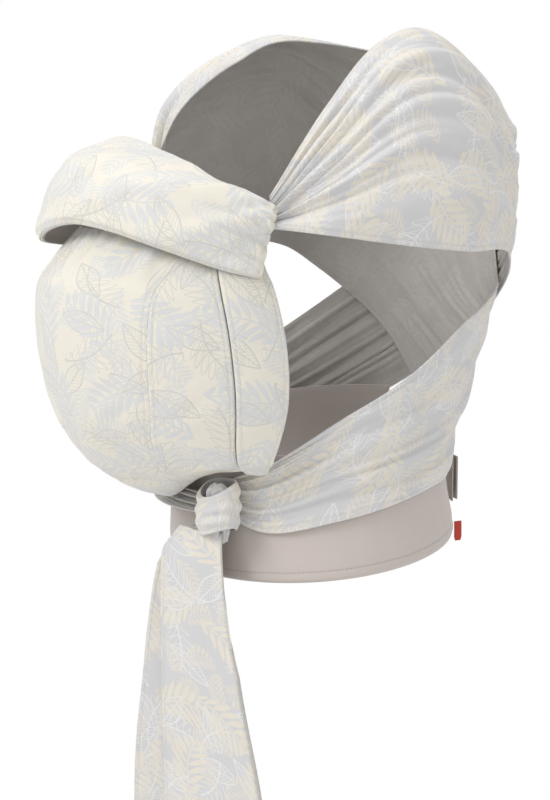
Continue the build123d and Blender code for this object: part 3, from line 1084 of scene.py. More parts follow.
@dataclass
class WrapStrap:
    """One long strap, from the neck roll over a shoulder, round the back to the knot."""

    name: str
    node: str
    shoulder: tuple
    torso: tuple
    off: float
    creases: Creases
    seed: int
    outward: float = 1.0
    rows: int = 330
    columns: int = 130
    billow: float = 2.2
    least: float = 0.2  # the folds stay over this height round the body
    most: float = 10.0  # and under this one
    stand: float = 1.6  # how far the cloth is lifted there, so that its folds clear what it lies on
    cloth: float = 0.9
    hem: float = 5.0  # width of the turned hem along both edges
    hem_extra: float = 0.5  # how much thicker the hem is
    flat: tuple[float, float] = (0.17, 0.98)  # metres, fitted to the mesh; the cut is wider

    def middle_line(self, u: Array, v: Array) -> Array:
        """A point of the strap, u along it in rows and v across it.

        Args:
            u: Shares along the strap.
            v: Shares across it.

        Returns:
            A grid of points.
        """
        weights = np.stack([2 * (v - 0.5) * (v - 1), 4 * v * (1 - v), 2 * v * (v - 0.5)], axis=-1)
        torso = np.asarray(self.torso, float)
        shoulder = np.asarray(self.shoulder, float)
        lead = [
            np.stack([BODY.around(np.array(a), np.array(z), self.off) for a, z in row])
            for row in torso[:2]
        ]
        first = np.concatenate([shoulder, np.stack(lead)]).reshape(-1, 9)
        last = len(shoulder)
        over = between(first, np.minimum(u, last)).reshape(*u.shape, 3, 3)
        over = np.einsum("...k,...kc->...c", weights, over)
        turn = between(torso.reshape(-1, 6), np.maximum(u - last, 0)).reshape(*u.shape, 3, 2)
        turn = np.einsum("...k,...kc->...c", weights, turn)
        round_body = BODY.around(turn[..., 0], turn[..., 1], self.off)
        return np.where((u >= last)[..., None], round_body, over)

    def folded(self, middle: Array, u: Array, v: Array) -> Array:
        """How far the folds lift the cloth off its middle line, in millimetres.

        Args:
            middle: The grid of its middle line.
            u: Shares along the strap.
            v: Shares across it.

        Returns:
            One lift for each crossing.
        """
        width = lengths(middle, 1)[:, -1:]
        tight = np.clip(90 / np.maximum(width, 1), 0, 1.6)
        soft = self.billow * ripple(u, v, self.seed, 9, 3.0, 7.0)
        fine = 0.35 * ripple(u, v, self.seed + 1, 9, 9.0, 22.0)
        return self.creases.height(u, v) * (0.55 + 0.7 * tight) + soft * (0.5 + 0.5 * tight) + fine

    def build(self, finishes: Finishes) -> bpy.types.Object:
        """Make the strap and dress it.

        Args:
            finishes: What the strap is made of.

        Returns:
            The strap's mesh.
        """
        u, v = grid(self.rows, self.columns)
        spans = len(self.shoulder) + len(self.torso) - 1
        middle = self.middle_line(u * spans, v)
        out = normals(middle) * self.outward
        lift = self.folded(middle, u, v) + STRAP_THICKNESS * 0.62
        free = 1 - smooth(0.28, 0.36, u)  # 1 over the shoulder, 0 round the body
        lift = lift + self.stand * (1 - free) * (1 + 1.6 * smooth(0.48, 0.62, u))
        lift = at_least(lift, self.least - 5 * free, 2.5)
        lift = at_most(lift, self.most + 4 * free, 1.6)
        near = middle + out * lift[..., None]
        near_out = normals(near) * self.outward
        edge = np.minimum(v, 1 - v) * lengths(middle, 1)[:, -1:]
        thick = self.cloth + self.hem_extra * (1 - smooth(self.hem - 1.5, self.hem, edge))
        far = near - near_out * thick[..., None]
        # The far face wears the strap cloth's darker copy, which paints shade on the wrap's inside.
        strap = sheet_mesh(
            self.name, near, far,
            [finishes.strap, finishes.strap_inside_painted_shade, finishes.strap],
            turned=self.outward < 0, shift=(self.seed * 0.37, self.seed * 0.21),
        )
        declare(strap, "root", "strap_cloth", self.node)
        return strap


LEFT_STRAP = WrapStrap(
    name="wrap_strap_left",
    node="strap_left",
    shoulder=(
        ((114, -96, 256), (122, -99, 244), (120, -98, 231)),
        ((92, -35, 325), (130, -50, 285), (150, -62, 226)),
        ((66, 28, 374), (130, 22, 338), (160, 12, 215)),
        ((57, 84, 380), (124, 88, 328), (158, 62, 209)),
    ),
    torso=(
        ((170, 318), (142, 262), (131, 204)),
        ((187, 262), (163, 207), (152, 170)),
        ((210, 197), (194, 152), (180, 112)),
        ((234, 151), (224, 100), (214, 54)),
        ((260, 105), (254, 55), (248, 8)),
        ((290, 62), (288, 24), (286, -12)),
        ((318, 26), (318, 4), (318, -18)),
        ((342, 8), (342, -4), (342, -17)),
        ((384, 5), (384, -3), (384, -12)),
    ),
    off=15.2,
    outward=-1.0,
    seed=3,
    creases=Creases(
        (
            (0.20, 0.10, -0.05, 0.26, 1.0, 1.0),
            (0.34, 0.22, -0.05, 0.34, 1.2, 1.1),
            (0.47, 0.36, -0.05, 0.24, 0.9, 0.9),
            (0.58, 0.50, -0.05, 0.30, 1.1, 1.2),
            (0.70, 0.66, -0.05, 0.27, 0.9, 0.9),
            (0.82, 0.80, -0.05, 0.22, 0.8, 0.8),
            (0.13, 0.26, -0.05, 0.46, 1.1, 1.5),
            (0.41, 0.44, -0.05, 0.44, 1.3, 1.6),
            (0.64, 0.60, -0.05, 0.40, 1.2, 1.5),
            (0.77, 0.74, -0.05, 0.36, 0.9, 1.2),
            (0.30, 0.22, 0.30, 0.62, 0.9, 1.4),
            (0.55, 0.47, 0.28, 0.60, 1.0, 1.4),
            (0.75, 0.70, 0.34, 0.66, 0.9, 1.3),
            (0.14, 0.18, 0.55, 1.05, 1.0, 1.0),
            (0.27, 0.30, 0.50, 1.05, 1.1, 1.1),
            (0.40, 0.42, 0.58, 1.05, 1.2, 1.0),
            (0.53, 0.52, 0.48, 1.05, 1.0, 1.2),
            (0.66, 0.64, 0.56, 1.05, 1.2, 1.0),
            (0.79, 0.75, 0.52, 1.05, 1.0, 0.9),
            (0.89, 0.86, 0.62, 1.05, 0.8, 0.8),
        ),
        depth=4.6,
        width=0.021,
    ),
)
RIGHT_STRAP = WrapStrap(
    name="wrap_strap_right",
    node="strap_right",
    shoulder=(
        ((-114, -94, 268), (-123, -96, 248), (-120, -96, 231)),
        ((-100, -76, 316), (-138, -80, 302), (-150, -62, 214)),
        ((-80, -34, 356), (-145, -24, 336), (-160, -5, 198)),
        ((-60, 20, 374), (-134, 45, 342), (-158, 42, 190)),
    ),
    torso=(
        ((-160, 340), (-132, 262), (-108, 178)),
        ((-183, 245), (-152, 200), (-124, 153)),
        ((-205, 182), (-175, 148), (-147, 114)),
        ((-229, 168), (-202, 122), (-172, 62)),
        ((-250, 150), (-226, 84), (-210, 18)),
        ((-270, 112), (-260, 58), (-250, 8)),
        ((-292, 77), (-290, 34), (-288, -8)),
        ((-316, 37), (-316, 8), (-316, -21)),
        ((-334, 18), (-334, 3), (-334, -12)),
    ),
    off=10.6,
    outward=1.0,
    most=4.4,
    stand=0.0,
    seed=8,
    creases=Creases(
        (
            (0.22, 0.12, -0.05, 0.30, 1.0, 1.0),
            (0.38, 0.30, -0.05, 0.36, 1.1, 1.1),
            (0.55, 0.50, -0.05, 0.30, 1.0, 1.0),
            (0.72, 0.70, -0.05, 0.28, 0.9, 0.9),
            (0.18, 0.26, 0.28, 0.80, 0.9, 1.2),
            (0.34, 0.38, 0.24, 0.76, 1.0, 1.3),
            (0.50, 0.52, 0.30, 0.84, 0.9, 1.2),
            (0.66, 0.63, 0.26, 0.78, 1.0, 1.2),
            (0.82, 0.76, 0.32, 0.82, 0.9, 1.1),
            (0.26, 0.30, 0.70, 1.05, 1.1, 1.0),
            (0.46, 0.47, 0.66, 1.05, 1.0, 1.0),
            (0.62, 0.60, 0.72, 1.05, 1.1, 1.0),
            (0.80, 0.76, 0.68, 1.05, 1.0, 1.0),
        ),
        depth=3.4,
        width=0.022,
    ),
)


# ------------------------------------------------------------------ the pouch
@dataclass
class Pouch:
    """The gathered pouch: middle cloth, side cloths, padded leg flaps and lining."""

    rows: tuple[tuple[float, float, float, float], ...] = (
        (13, 92, -92, 34),
        (-2, 97, -92, 48),
        (7, 104, -92, 78),
        (20, 111, -92, 101),
        (41, 120, -91, 123),
        (68, 128, -89, 141),
        (100, 131, -88, 152),
        (140, 128, -90, 156),
        (178, 119, -95, 150),
        (198, 108, -98, 134),
        (226, 94, -99, 106),
    )
    centre: tuple[float, float, float] = (0, -110, 90)
    seam_tuck: float = 0.495  # how far the cloth is drawn in at its seams
    corner_lift: float = 50
    turn: float = 15
    lining: float = 0.8
    leg_pad: float = 2.4
    pleat_at: float = 0.906
    leg_pad_at: float = 0.915
    flap_top: float = 0.82
    flap_reach: float = 0.905  # the flap goes on up under the neck roll
    flap_stand: float = 2.6  # the flap lies this far out, over its pad
    seat_angle: float = 34
    seat_edge: float = 0.24

    def point(self, u: Array, v: Array) -> Array:
        """A point of the pouch, u up from the waist and v from right to left.

        Args:
            u: Shares up from the waist.
            v: Shares from right to left.

        Returns:
            The points.
        """
        row = between(self.rows, u * (len(self.rows) - 1))
        z, half, side_y, depth = (row[..., k] for k in range(4))
        a = np.radians(180 * v - 90)
        side = np.sin(a) ** 2
        lift = self.corner_lift * (1 - u) ** 2 * 1.45 * side / (side + 0.45)
        turn = self.turn * (1 - u) ** 8 * side
        return np.stack([half * np.sin(a), side_y - depth * np.cos(a), z + lift - turn], axis=-1)

    def seam(self, u: Array) -> Array:
        """Where the curved seam beside the middle cloth runs, as a share of the arch."""
        return between(((0.63,), (0.70,), (0.745,), (0.775,), (0.845,)), 4 * u)[..., 0]

    def wrinkles(self, u: Array, v: Array) -> Array:
        """The filled cloth's soft folds, in millimetres.

        Args:
            u: Shares up from the waist.
            v: Shares from right to left.

        Returns:
            One height for each crossing.
        """
        gathers = 1.5 * ripple(u * 0.3, v, 21, 7, 1.0, 26) * smooth(0.80, 0.98, u)
        lower = 1.1 * ripple(v, u, 25, 6, 3.0, 9) * (1 - smooth(0.1, 0.35, u))
        broad = 1.0 * ripple(u, v, 31, 7, 2.6, 3.2)
        crushed = 0.35 * ripple(u, v, 37, 14, 14, 16)
        return gathers + lower + broad + crushed

    def panel(
        self, name: str, low: Callable[[Array], Array], high: Callable[[Array], Array],
        off: float, thickness: float, top: float, materials: Sequence[bpy.types.Material],
        size: tuple[int, int] = (150, 110), puff: float = 0.0, shift: float = 0.0,
    ) -> bpy.types.Object:
        """Make one cloth of the pouch.

        Args:
            name: The piece's name.
            low: Where it starts, as a share of the arch, for each u.
            high: Where it ends, in the same way.
            off: How far its outer face lies off the pouch's surface, inward.
            thickness: How thick it is.
            top: Where it ends upward, as a share of the pouch.
            materials: Its outside, inside and edge.
            size: Rows and columns of its mesh.
            puff: How far its middle stands proud, in millimetres.
            shift: Where on the cloth's pattern it was cut.

        Returns:
            The piece.
        """
        u, v = grid(*size)
        up = u * top
        share = low(up) + (high(up) - low(up)) * v
        surface = self.point(up, share)
        out = -normals(surface)
        outward = float(np.mean(np.sum(out * (surface - np.array(self.centre)), axis=-1))) > 0
        out = out if outward else -out
        edge = np.minimum(np.minimum(v, 1 - v) * 4, 1)
        tuck = self.seam_tuck * (1 - smooth(0.0, 0.09, edge))
        lift = 0.8 * self.wrinkles(up, share) - off - tuck + puff * np.sin(math.pi * v) ** 0.5
        near = surface + out * lift[..., None]
        far = near - out * thickness
        return sheet_mesh(name, near, far, materials, turned=outward, shift=(shift, 0.4 * shift))

    def build(self, finishes: Finishes) -> None:
        """Make the pouch's pieces and dress them.

        Args:
            finishes: What the pieces are made of.
        """
        printed = [finishes.pouch, finishes.lining, finishes.pouch]
        plain = [finishes.lining] * 3
        middle = self.panel(
            "pouch_middle_cloth", lambda u: 1 - self.seam(u), self.seam, 0, CLOTH, 1, printed, (220, 240),
            shift=1.3,
        )
        declare(middle, "root", "pouch_cloth", "pouch_middle")
        lining = self.panel(
            "pouch_lining_cloth", lambda u: 0 * u, lambda u: 0 * u + 1, CLOTH + LAYER_GAP, self.lining, 1,
            plain,
        )
        declare(lining, "root", "lining_cloth", "pouch_lining")
        for side in Side:
            self.build_side(side, finishes)
        self.build_seat(finishes)

    def build_side(self, side: Side, finishes: Finishes) -> None:
        """Make the side cloth, the leg pad and the flap of one side.

        Args:
            side: Which side.
            finishes: What the pieces are made of.
        """
        word = side.name.lower()
        printed = [finishes.pouch, finishes.lining, finishes.pouch]

        def share(value: Callable[[Array], Array] | float) -> Callable[[Array], Array]:
            """The share of the arch, counted from the side's own end.

            Args:
                value: A share from the side's own end, fixed or changing with u.

            Returns:
                The share of the whole arch, from right to left.
            """
            def at(u: Array) -> Array:
                """The share at each u, turned round for the right side."""
                here = value(u) if callable(value) else 0 * u + value
                return here if side is Side.LEFT else 1 - here

            return at

        cloth = self.panel(
            f"pouch_{word}_side_cloth", share(self.seam), share(self.pleat_at), 0, CLOTH, 1, printed,
            (200, 60), shift=2.1,
        )
        declare(cloth, "root", "pouch_cloth", f"pouch_side_{word}")
        pad = self.panel(
            f"{word}_leg_pad", share(self.leg_pad_at), share(1.0), -LAYER_GAP / 2, self.leg_pad,
            self.flap_top, [finishes.padding] * 3, (60, 16),
        )
        declare(pad, "root", "padding", f"leg_pad_{word}")
        flap = self.panel(
            f"{word}_leg_flap", share(self.pleat_at), share(1.0), -self.flap_stand, CLOTH,
            self.flap_reach, printed, (200, 50), puff=1.0, shift=3.7,
        )
        declare(flap, "root", "pouch_cloth", f"side_flap_{word}")

    def build_seat(self, finishes: Finishes) -> None:
        """Make the seat cloth, from the belt's top to the pouch's lower edge.

        Args:
            finishes: What the pieces are made of.
        """
        u, v = grid(24, 60)
        belt = Belt()
        start = belt.point(self.seat_angle * (2 * v - 1), 0 * v + 1 - 3 / belt.height, BAND_OUTSIDE + 0.9)
        end = self.point(0 * v, self.seat_edge + (1 - 2 * self.seat_edge) * v)
        end = end + np.array([0, 3.2, 1.0])
        near = start + (end - start) * u[..., None]
        near = near + np.array([0, 0, -1.0]) * (3 * np.sin(math.pi * u) * (0.5 + 0.5 * v))[..., None]
        far = near + np.array([0, 0, self.lining])
        seat = sheet_mesh("seat_cloth_panel", near, far, [finishes.lining] * 3)
        declare(seat, "root", "lining_cloth", "seat_cloth")


# ------------------------------------------------------------------ the neck roll
@dataclass
class NeckRoll:
    """The padded roll along the pouch's top, which bunches into both straps."""

    hem: tuple[tuple[float, float, float], ...] = (
        (123, -108, 190),
        (113, -142, 199),
        (90, -180, 214),
        (57, -210, 227),
        (18, -229, 232),
        (-22, -238, 225),
        (-58, -230, 212),
        (-92, -194, 203),
        (-114, -150, 196),
        (-123, -108, 192),
    )
    rim: tuple[tuple[float, float, float], ...] = (
        (123, -92, 250),
        (108, -109, 259),
        (86, -122, 267),
        (58, -132, 278),
        (20, -142, 289),
        (-20, -149, 297),
        (-58, -148, 298),
        (-90, -134, 291),
        (-108, -114, 276),
        (-117, -100, 262),
    )
    crown: float = 22
    axis_y: float = -82  # the roll swells away from this line
    pad: float = 9.0

    def skin(self, s: Array, t: Array) -> Array:
        """A point of the roll's outside, s along it and t from the hem to the rim.

        Args:
            s: Shares along the roll.
            t: Shares round it.

        Returns:
            The points.
        """
        low = between(self.hem, s * (len(self.hem) - 1))
        high = between(self.rim, s * (len(self.rim) - 1))
        swell = self.crown * 4 * t * (1 - t) * (1 - 0.65 * (2 * s - 1) ** 4)
        place = low + (high - low) * t[..., None]
        out = np.stack([place[..., 0], place[..., 1] - self.axis_y, 0 * t], axis=-1)
        out /= np.linalg.norm(out, axis=-1, keepdims=True)
        return place + 0.7 * swell[..., None] * (out + np.array([0, 0, 1]))

    def folds(self, s: Array, t: Array) -> Array:
        """Creases that run in from both bunched ends, and soft dents between.

        Args:
            s: Shares along the roll.
            t: Shares round it.

        Returns:
            One height for each crossing.
        """
        end = np.minimum(s, 1 - s)
        fan = np.zeros_like(s)
        for k, (place, deep) in enumerate(((0.18, 1.0), (0.36, 1.3), (0.53, 1.0), (0.70, 1.2), (0.86, 0.9))):
            line = place + (0.35 * (place - 0.5)) * np.minimum(end * 3, 1)
            reach = 0.17 + 0.07 * ((k * 7) % 3)
            fan -= deep * 2.6 * (1 - smooth(0.02, reach, end)) * bell(t, line, 0.032 + 0.10 * end)
        soft = 1.7 * ripple(s, t, 41, 8, 5.0, 1.8) + 0.5 * ripple(s, t, 43, 12, 16, 5)
        return fan + soft * smooth(0, 0.15, np.minimum(t, 1 - t) + 0.03)

    def build(self, finishes: Finishes) -> None:
        """Make the roll's cover, pad and facing, and dress them.

        Args:
            finishes: What the pieces are made of.
        """
        u, v = grid(300, 84)
        base = self.skin(u, v)
        out = -normals(base)
        if float(np.mean(out[..., 2])) < 0:
            out = -out
        edge = np.minimum(v, 1 - v)
        ends = np.minimum(u, 1 - u)
        tuck = 4.2 * (1 - smooth(0, 0.055, edge)) ** 1.5 + 3.0 * (1 - smooth(0, 0.02, ends))
        near = base + out * (self.folds(u, v) - tuck + 0.8)[..., None]
        printed = [finishes.pouch, finishes.lining, finishes.pouch]
        turned = float(np.mean(np.sum(normals(near) * out, axis=-1))) < 0
        cover = sheet_mesh(
            "neck_roll_cloth", near, near - out * 1.1, printed, turned=turned, shift=(5.3, 1.9)
        )
        declare(cover, "root", "pouch_cloth", "neck_roll_cover")
        room = self.pad * np.clip(np.minimum(edge * 7, ends * 10 + 0.25), 0.12, 1)
        back = near - out * (1.8 + room)[..., None]
        pad = sheet_mesh("neck_roll_padding", near - out * 1.6, back, [finishes.padding] * 3, turned=turned)
        declare(pad, "root", "padding", "neck_roll_pad")
        facing = sheet_mesh(
            "neck_roll_facing_cloth", back - out * 0.5, back - out * 1.3, [finishes.lining] * 3, turned=turned
        )
        declare(facing, "root", "lining_cloth", "neck_roll_facing")


# ------------------------------------------------------------------ knot and tails
@dataclass
class Knot:
    """The knot in front: a core, a turn of cloth round it, and two hanging tails."""

    centre: tuple[float, float, float] = (74, -124, 0)
    core: tuple[float, float] = (12, 9)
    core_levels: tuple[tuple[float, float], ...] = (
        (-29.4, 0.7), (-18, 0.95), (-8, 1), (4, 1), (13, 0.95), (20, 0.7),
    )
    turn: tuple[float, float] = (21, 15)
    turn_height: float = 38
    tail_angle: float = 22
    front: tuple[tuple[float, ...], ...] = (
        (62, -132, -20, 24, 5.5),
        (56, -137, -42, 34, 5.5),
        (54, -136, -80, 38, 5),
        (55, -131, -140, 45, 4.5),
        (57, -120, -260, 58, 4),
        (58, -117, -410, 64, 3.5),
        (58, -116, -560, 66, 3),
    )
    rear: tuple[tuple[float, ...], ...] = (
        (40, -126, -30, 18, 5),
        (28, -130, -60, 34, 4.5),
        (15, -129, -130, 43, 4),
        (-3, -122, -260, 58, 3.5),
        (-9, -119, -395, 62, 3.5),
        (-14, -118, -530, 64, 3),
    )

    def build(self, finishes: Finishes) -> None:
        """Make the knot's pieces and dress them.

        Args:
            finishes: What the pieces are made of.
        """
        self.build_core(finishes)
        self.build_turn(finishes)
        self.build_tail("tail_front_cloth", "tail_front", self.front, 11, finishes)
        self.build_tail("tail_rear_cloth", "tail_rear", self.rear, 17, finishes)

    def tube(self, name: str, near: Array, far: Array, finishes: Finishes, shift: float) -> bpy.types.Object:
        """Make a sheet whose long edges meet, from its two faces.

        Args:
            name: Its name.
            near: The grid of its outer face.
            far: The grid of its inner face.
            finishes: What it is made of.
            shift: How far the print is moved along.

        Returns:
            The mesh.
        """
        dressed = [finishes.strap] * 3
        centre = near.mean(axis=(0, 1))
        outward = np.sum(normals(near) * (near - centre), axis=-1).mean() > 0
        return sheet_mesh(name, near, far, dressed, turned=not outward, shift=(shift, 0.3 * shift))

    def build_core(self, finishes: Finishes) -> None:
        """Make the bundle that passes down through the knot.

        Args:
            finishes: What the pieces are made of.
        """
        u, v = grid(60, 96)
        table = np.array(self.core_levels)
        rise = table[0, 0] + (table[-1, 0] - table[0, 0]) * u
        share = np.interp(rise, table[:, 0], table[:, 1])
        share = share * (1 - smooth(0.9, 1.0, u) * 0.5)
        a = 2 * math.pi * v + 0.5 * u
        folds = 1 + 0.10 * np.sin(7 * a + 2 * u) + 0.05 * np.sin(11 * a + 1.3)
        near = np.stack(
            [
                self.centre[0] + self.core[0] * share * folds * np.cos(a),
                self.centre[1] + self.core[1] * share * folds * np.sin(a),
                self.centre[2] + rise,
            ],
            axis=-1,
        )
        middle = np.array([self.centre[0], self.centre[1], 0])
        far = near + (middle - near) * np.array([0.12, 0.12, 0])
        core = self.tube("knot_bundle", near, far, finishes, 2.7)
        declare(core, "root", "strap_cloth", "knot_core")

    def build_turn(self, finishes: Finishes) -> None:
        """Make the turn of cloth that goes slanting round the bundle.

        Args:
            finishes: What the pieces are made of.
        """
        u, v = grid(160, 60)
        a = 2 * math.pi * u
        s = 2 * v - 1
        swell = np.sqrt(np.maximum(1 - np.abs(s) ** 2.4, 0.02))
        folds = 1.0 * np.sin(3.2 * math.pi * s + 1.4 * np.sin(a) + 0.6) + 0.5 * np.sin(7 * s + 2 * a)
        grow = 4.0 * swell + folds * swell * 0.9 - 1.5
        slant = 7.0 * np.cos(a - 0.9) + 2.5 * np.cos(2 * a)
        tall = self.turn_height / 2 * (1 + 0.18 * np.cos(a - 2.2))
        near = np.stack(
            [
                self.centre[0] + (self.turn[0] + grow) * np.cos(a),
                self.centre[1] + (self.turn[1] + grow) * np.sin(a),
                self.centre[2] - 2 + s * tall + slant * 0.6,
            ],
            axis=-1,
        )
        middle = np.array(self.centre)
        inward = (middle - near) * np.array([1, 1, 0])
        inward /= np.linalg.norm(inward, axis=-1, keepdims=True)
        wrap = self.tube("knot_turn", near, near + inward * 1.6, finishes, 4.4)
        declare(wrap, "root", "strap_cloth", "knot_wrap")

    def build_tail(
        self, name: str, node: str, levels: tuple[tuple[float, ...], ...], seed: int, finishes: Finishes
    ) -> None:
        """Make one hanging tail: the strap's end, folded in three lengthwise.

        Args:
            name: The piece's name.
            node: The CAD node that it stands for, on a body of the same name.
            levels: Middle, height, half width and half depth, from the knot down.
            seed: Picks the tail's folds.
            finishes: The carrier's finishes.
        """
        rows, columns = 260, 150
        u, v = grid(rows, columns)
        table = np.array(levels)
        heights = table[:, 2]
        z = heights[0] + (heights[-1] - heights[0]) * u
        place = np.interp(-z, -heights, np.arange(len(heights)))
        row = between(table, place)
        half, deep = row[..., 3], row[..., 4]
        # Across the cloth: the front layer, a turn, the layer behind it, a turn
        # back, and the last layer.
        path_s = np.array([-1.0, 0.0, 0.97, 1.0, 0.95, 0.3, -0.55, -0.62, -0.56, 0.1, 0.72])
        path_f = np.array([0.55, 0.9, 0.75, 0.45, 0.15, 0.0, 0.0, -0.25, -0.5, -0.6, -0.7])
        knots = np.linspace(0, 1, len(path_s))
        across = np.interp(v, knots, path_s)
        depth = np.interp(v, knots, path_f)
        bunch = 1 - smooth(0.0, 0.16, u)
        pleats = (
            1.2 * ripple(u, v, seed, 8, 1.2, 9) * (0.6 + 1.1 * bunch)
            + 0.5 * ripple(u, v, seed + 1, 8, 4.0, 16)
        )
        sway = 3.0 * np.sin(2.3 * u + seed) * u
        front = depth * (deep + 1.5) + pleats * 0.8
        side = across * half + sway
        c, s = math.cos(math.radians(self.tail_angle)), math.sin(math.radians(self.tail_angle))
        near = np.stack(
            [row[..., 0] + side * c + front * s, row[..., 1] + side * s - front * c, z], axis=-1
        )
        out = normals(near)
        # The tail's far face wears the strap cloth's darker copy, which paints shade on its inside.
        dressed = [finishes.strap, finishes.strap_inside_painted_shade, finishes.strap]
        facing = np.sum(out[:, 8] * np.array([s, -c, 0]), axis=-1).mean() > 0
        out = out if facing else -out
        tail = sheet_mesh(name, near, near - out * 0.9, dressed, turned=not facing, shift=(seed * 0.43, 0.7))
        declare(tail, node, "strap_cloth", node)


# ------------------------------------------------------------------ webbing
@dataclass
class BeltWebbing:
    """The belt's webbing at the back: both sewn ends and the loose end."""

    width: float = 38
    thickness: float = 1.5
    bend: float = 3.0

    def ribbon(
        self, name: str, node: str, body: str, corners: Sequence[tuple[float, float]], finishes: Finishes
    ) -> None:
        """Make one run of webbing along a level path.

        Args:
            name: The piece's name.
            node: The CAD node that it stands for.
            body: The body that it rides on.
            corners: The path's corners in X and Y.
            finishes: The carrier's finishes.
        """
        line = self.rounded(np.array(corners, float))
        steps = np.linalg.norm(np.diff(line, axis=0), axis=1)
        total = np.concatenate([[0], np.cumsum(steps)])
        even = np.linspace(0, total[-1], max(24, int(total[-1] / 0.8)))
        line = np.stack([np.interp(even, total, line[:, k]) for k in range(2)], axis=-1)
        along = np.gradient(line, axis=0)
        along /= np.linalg.norm(along, axis=-1, keepdims=True)
        side = np.stack([along[:, 1], -along[:, 0]], axis=-1)
        share = np.linspace(-1, 1, 77)
        ribs = 0.12 * np.cos(share * math.pi * 11)
        half = self.thickness / 2 * (1 - 0.35 * np.abs(share) ** 12) + ribs * 0.5
        height = share * self.width / 2

        def face(sign: float) -> Array:
            """One face of the ribbon.

            Args:
                sign: 1 for the outer face, -1 for the inner one.

            Returns:
                A grid of points.
            """
            flat = line[:, None, :] + sign * side[:, None, :] * half[None, :, None]
            tall = np.broadcast_to(height[None, :], flat.shape[:2])
            return np.concatenate([flat, tall[..., None]], axis=-1)

        near, far = face(1.0), face(-1.0)
        outward = float(np.sum(normals(near)[:, 38, :2] * side)) > 0
        piece = sheet_mesh(name, near, far, [finishes.webbing] * 3, turned=not outward)
        declare(piece, body, "webbing", node)

    def rounded(self, corners: Array) -> Array:
        """The corners' path with each corner turned in a small curve.

        Args:
            corners: The corners, one to a row.

        Returns:
            The points of the path.
        """
        points = [corners[0]]
        for before, corner, after in zip(corners, corners[1:], corners[2:]):
            reach = min(
                self.bend, np.linalg.norm(before - corner) * 0.48, np.linalg.norm(after - corner) * 0.48
            )
            start = corner + (before - corner) / np.linalg.norm(before - corner) * reach
            end = corner + (after - corner) / np.linalg.norm(after - corner) * reach
            for t in np.linspace(0, 1, 9):
                points.append((1 - t) ** 2 * start + 2 * t * (1 - t) * corner + t**2 * end)
        points.append(corners[-1])
        return np.array(points)

    def build(self, finishes: Finishes) -> None:
        """Make the three runs of webbing, round the bars of the buckle.

        Args:
            finishes: What the webbing is made of.
        """
        self.ribbon(
            "webbing_socket_end", "webbing_left", "root",
            [(58, 112.5), (39, 115.2), (27.2, 115.2), (27.2, 108.8), (50, 108.8), (63.9, 104.5)], finishes,
        )
        self.ribbon(
            "webbing_plug_side", "webbing_right", "root",
            [(-32.8, 107.2), (-58.8, 107.2), (-90.1, 90.3)], finishes,
        )
        self.ribbon(
            "webbing_pull_end", "webbing_loose_end", "plug",
            [(-27.4, 109.2), (-12, 109.2), (-12, 116.2), (-78.4, 116.2)], finishes,
        )


# ------------------------------------------------------------------ hard parts
@dataclass
class Buckle:
    """The side-release buckle, whose CAD solids keep their shape."""

    nodes: tuple[str, ...] = ("buckle_female", "buckle_male", "buckle_prong_upper", "buckle_prong_lower")

    def dress(self, frame: dict, finishes: Finishes) -> None:
        """Give each moulded part its plastic."""
        for node in self.nodes:
            for slot in frame["nodes"][node].material_slots:
                slot.material = finishes.plastic
            LOG.info("%s keeps its solid", node)


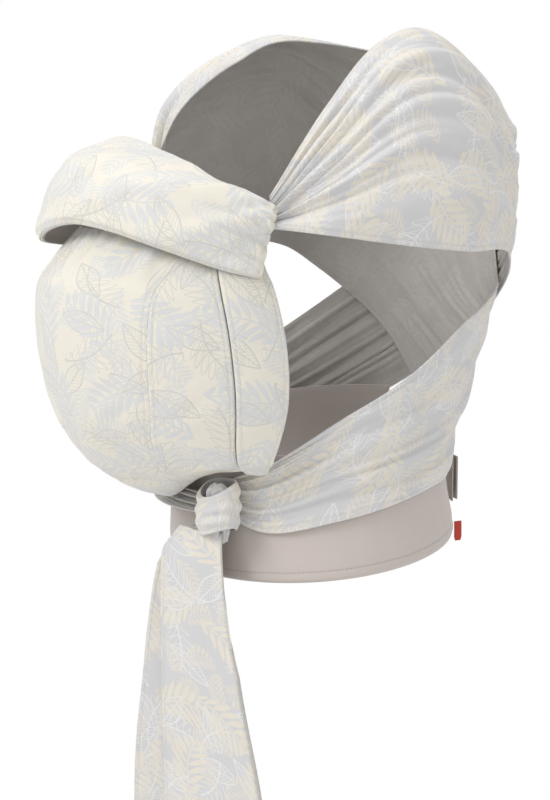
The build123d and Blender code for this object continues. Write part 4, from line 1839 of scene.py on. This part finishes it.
# ------------------------------------------------------------------ the studio
@dataclass
class Studio:
    """A plain pale floor, soft lamps and the camera."""

    target: tuple[float, float, float] = (0, -36, 71)
    azimuth: float = 64
    elevation: float = 9.5
    distance: float = 1900
    lens: float = 99.18
    floor_size: float = 14
    world: float = 0.56

    def build(self, low: float) -> None:
        """Build the studio.

        Args:
            low: The height of the object's lowest point, in metres.
        """
        self.build_camera()
        self.build_floor(low)
        self.build_lamps()
        self.build_world()

    def build_camera(self) -> None:
        """Place the camera in front and to the wearer's left, a little above."""
        a, e = math.radians(self.azimuth), math.radians(self.elevation)
        back = Vector((math.sin(a) * math.cos(e), -math.cos(a) * math.cos(e), math.sin(e)))
        data = bpy.data.cameras.new("studio_camera")
        data.lens = self.lens
        camera = bpy.data.objects.new("studio_camera", data)
        camera.location = (Vector(self.target) + back * self.distance) * MM
        camera.rotation_euler = back.to_track_quat("Z", "Y").to_euler()
        bpy.context.scene.collection.objects.link(camera)
        bpy.context.scene.camera = camera

    def build_floor(self, low: float) -> None:
        """Lay the floor under the object, white where the camera looks past it.

        Args:
            low: The height of the object's lowest point, in metres.
        """
        half = self.floor_size / 2
        corners = np.array([(-half, -half), (half, -half), (half, half), (-half, half)])
        points = np.column_stack([corners, np.full(4, low - 0.0005)])
        floor = build_mesh(
            "studio_floor", points, np.array([[0, 1, 2, 3]]), {"cloth": corners}, np.zeros(1)
        )
        material, g, shader = start_material("studio_floor")
        shader.inputs["Base Color"].default_value = (0.9, 0.9, 0.9, 1)
        shader.inputs["Roughness"].default_value = 0.9
        bright = g.node("Emission")
        bright.inputs["Strength"].default_value = 1
        path = g.node("LightPath")
        seen = g.math("MAXIMUM", path.outputs["Is Camera Ray"], path.outputs["Is Glossy Ray"])
        blend = g.node("MixShader")
        place = g.node("SeparateXYZ")
        g.plug(place.inputs[0], g.node("TexCoord").outputs["Object"])
        reach = g.math("SQRT", g.math("ADD", *(g.math("POWER", place.outputs[k], 2) for k in range(2))))
        far = g.step(reach, 0.3, 0.62)
        g.plug(blend.inputs[0], g.math("MULTIPLY", seen, g.math("MULTIPLY_ADD", far, 0.25, 0.75)))
        g.plug(blend.inputs[1], shader.outputs[0])
        g.plug(blend.inputs[2], bright.outputs[0])
        output = next(n for n in material.node_tree.nodes if n.type == "OUTPUT_MATERIAL")
        g.plug(output.inputs["Surface"], blend.outputs[0])
        floor.data.materials.append(material)
        floor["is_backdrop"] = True

    def build_lamps(self) -> None:
        """Hang three soft boxes round the object."""
        lamps = (
            ("key", (0.2, -2.7, 2.3), 1.6, 54),
            ("fill", (3.0, 0.2, 1.3), 2.0, 15),
            ("top", (-0.4, 0.5, 2.8), 2.2, 22),
        )
        for name, place, size, power in lamps:
            data = bpy.data.lights.new(f"studio_{name}", "AREA")
            data.energy, data.size = power, size
            lamp = bpy.data.objects.new(f"studio_{name}", data)
            lamp.location = place
            lamp.rotation_euler = (Vector(place) - Vector((0, 0, 0.05))).to_track_quat("Z", "Y").to_euler()
            bpy.context.scene.collection.objects.link(lamp)

    def build_world(self) -> None:
        """Fill the room with even light, white where the camera looks past all."""
        world = bpy.data.worlds.new("studio_world")
        bpy.context.scene.world = world
        world.use_nodes = True
        g = Graph(world.node_tree)
        path = g.node("LightPath")
        seen = g.math("MAXIMUM", path.outputs["Is Camera Ray"], path.outputs["Is Glossy Ray"])
        dim, bright = g.node("Background"), g.node("Background")
        for light, strength in ((dim, self.world), (bright, 1.0)):
            light.inputs["Color"].default_value = (1, 1, 1, 1)
            light.inputs["Strength"].default_value = strength
        blend = g.node("MixShader")
        for socket, value in zip(blend.inputs, (seen, dim.outputs[0], bright.outputs[0])):
            g.plug(socket, value)
        g.plug(g.node("OutputWorld").inputs["Surface"], blend.outputs[0])


def main() -> None:
    """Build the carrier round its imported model, and the studio."""
    logging.basicConfig(level=logging.INFO, format="%(name)s: %(message)s")
    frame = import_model()
    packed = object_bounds()
    Studio().build(float(packed[0][2]))
    finishes = Finishes()
    belt, knot, webbing = Belt(), Knot(), BeltWebbing()
    belt.build(finishes)
    LEFT_STRAP.build(finishes)
    RIGHT_STRAP.build(finishes)
    Pouch().build(finishes)
    NeckRoll().build(finishes)
    knot.build(finishes)
    webbing.build(finishes)
    Buckle().dress(frame, finishes)
    bpy.context.scene.view_settings.view_transform = "Standard"


if __name__ == "__main__":
    main()
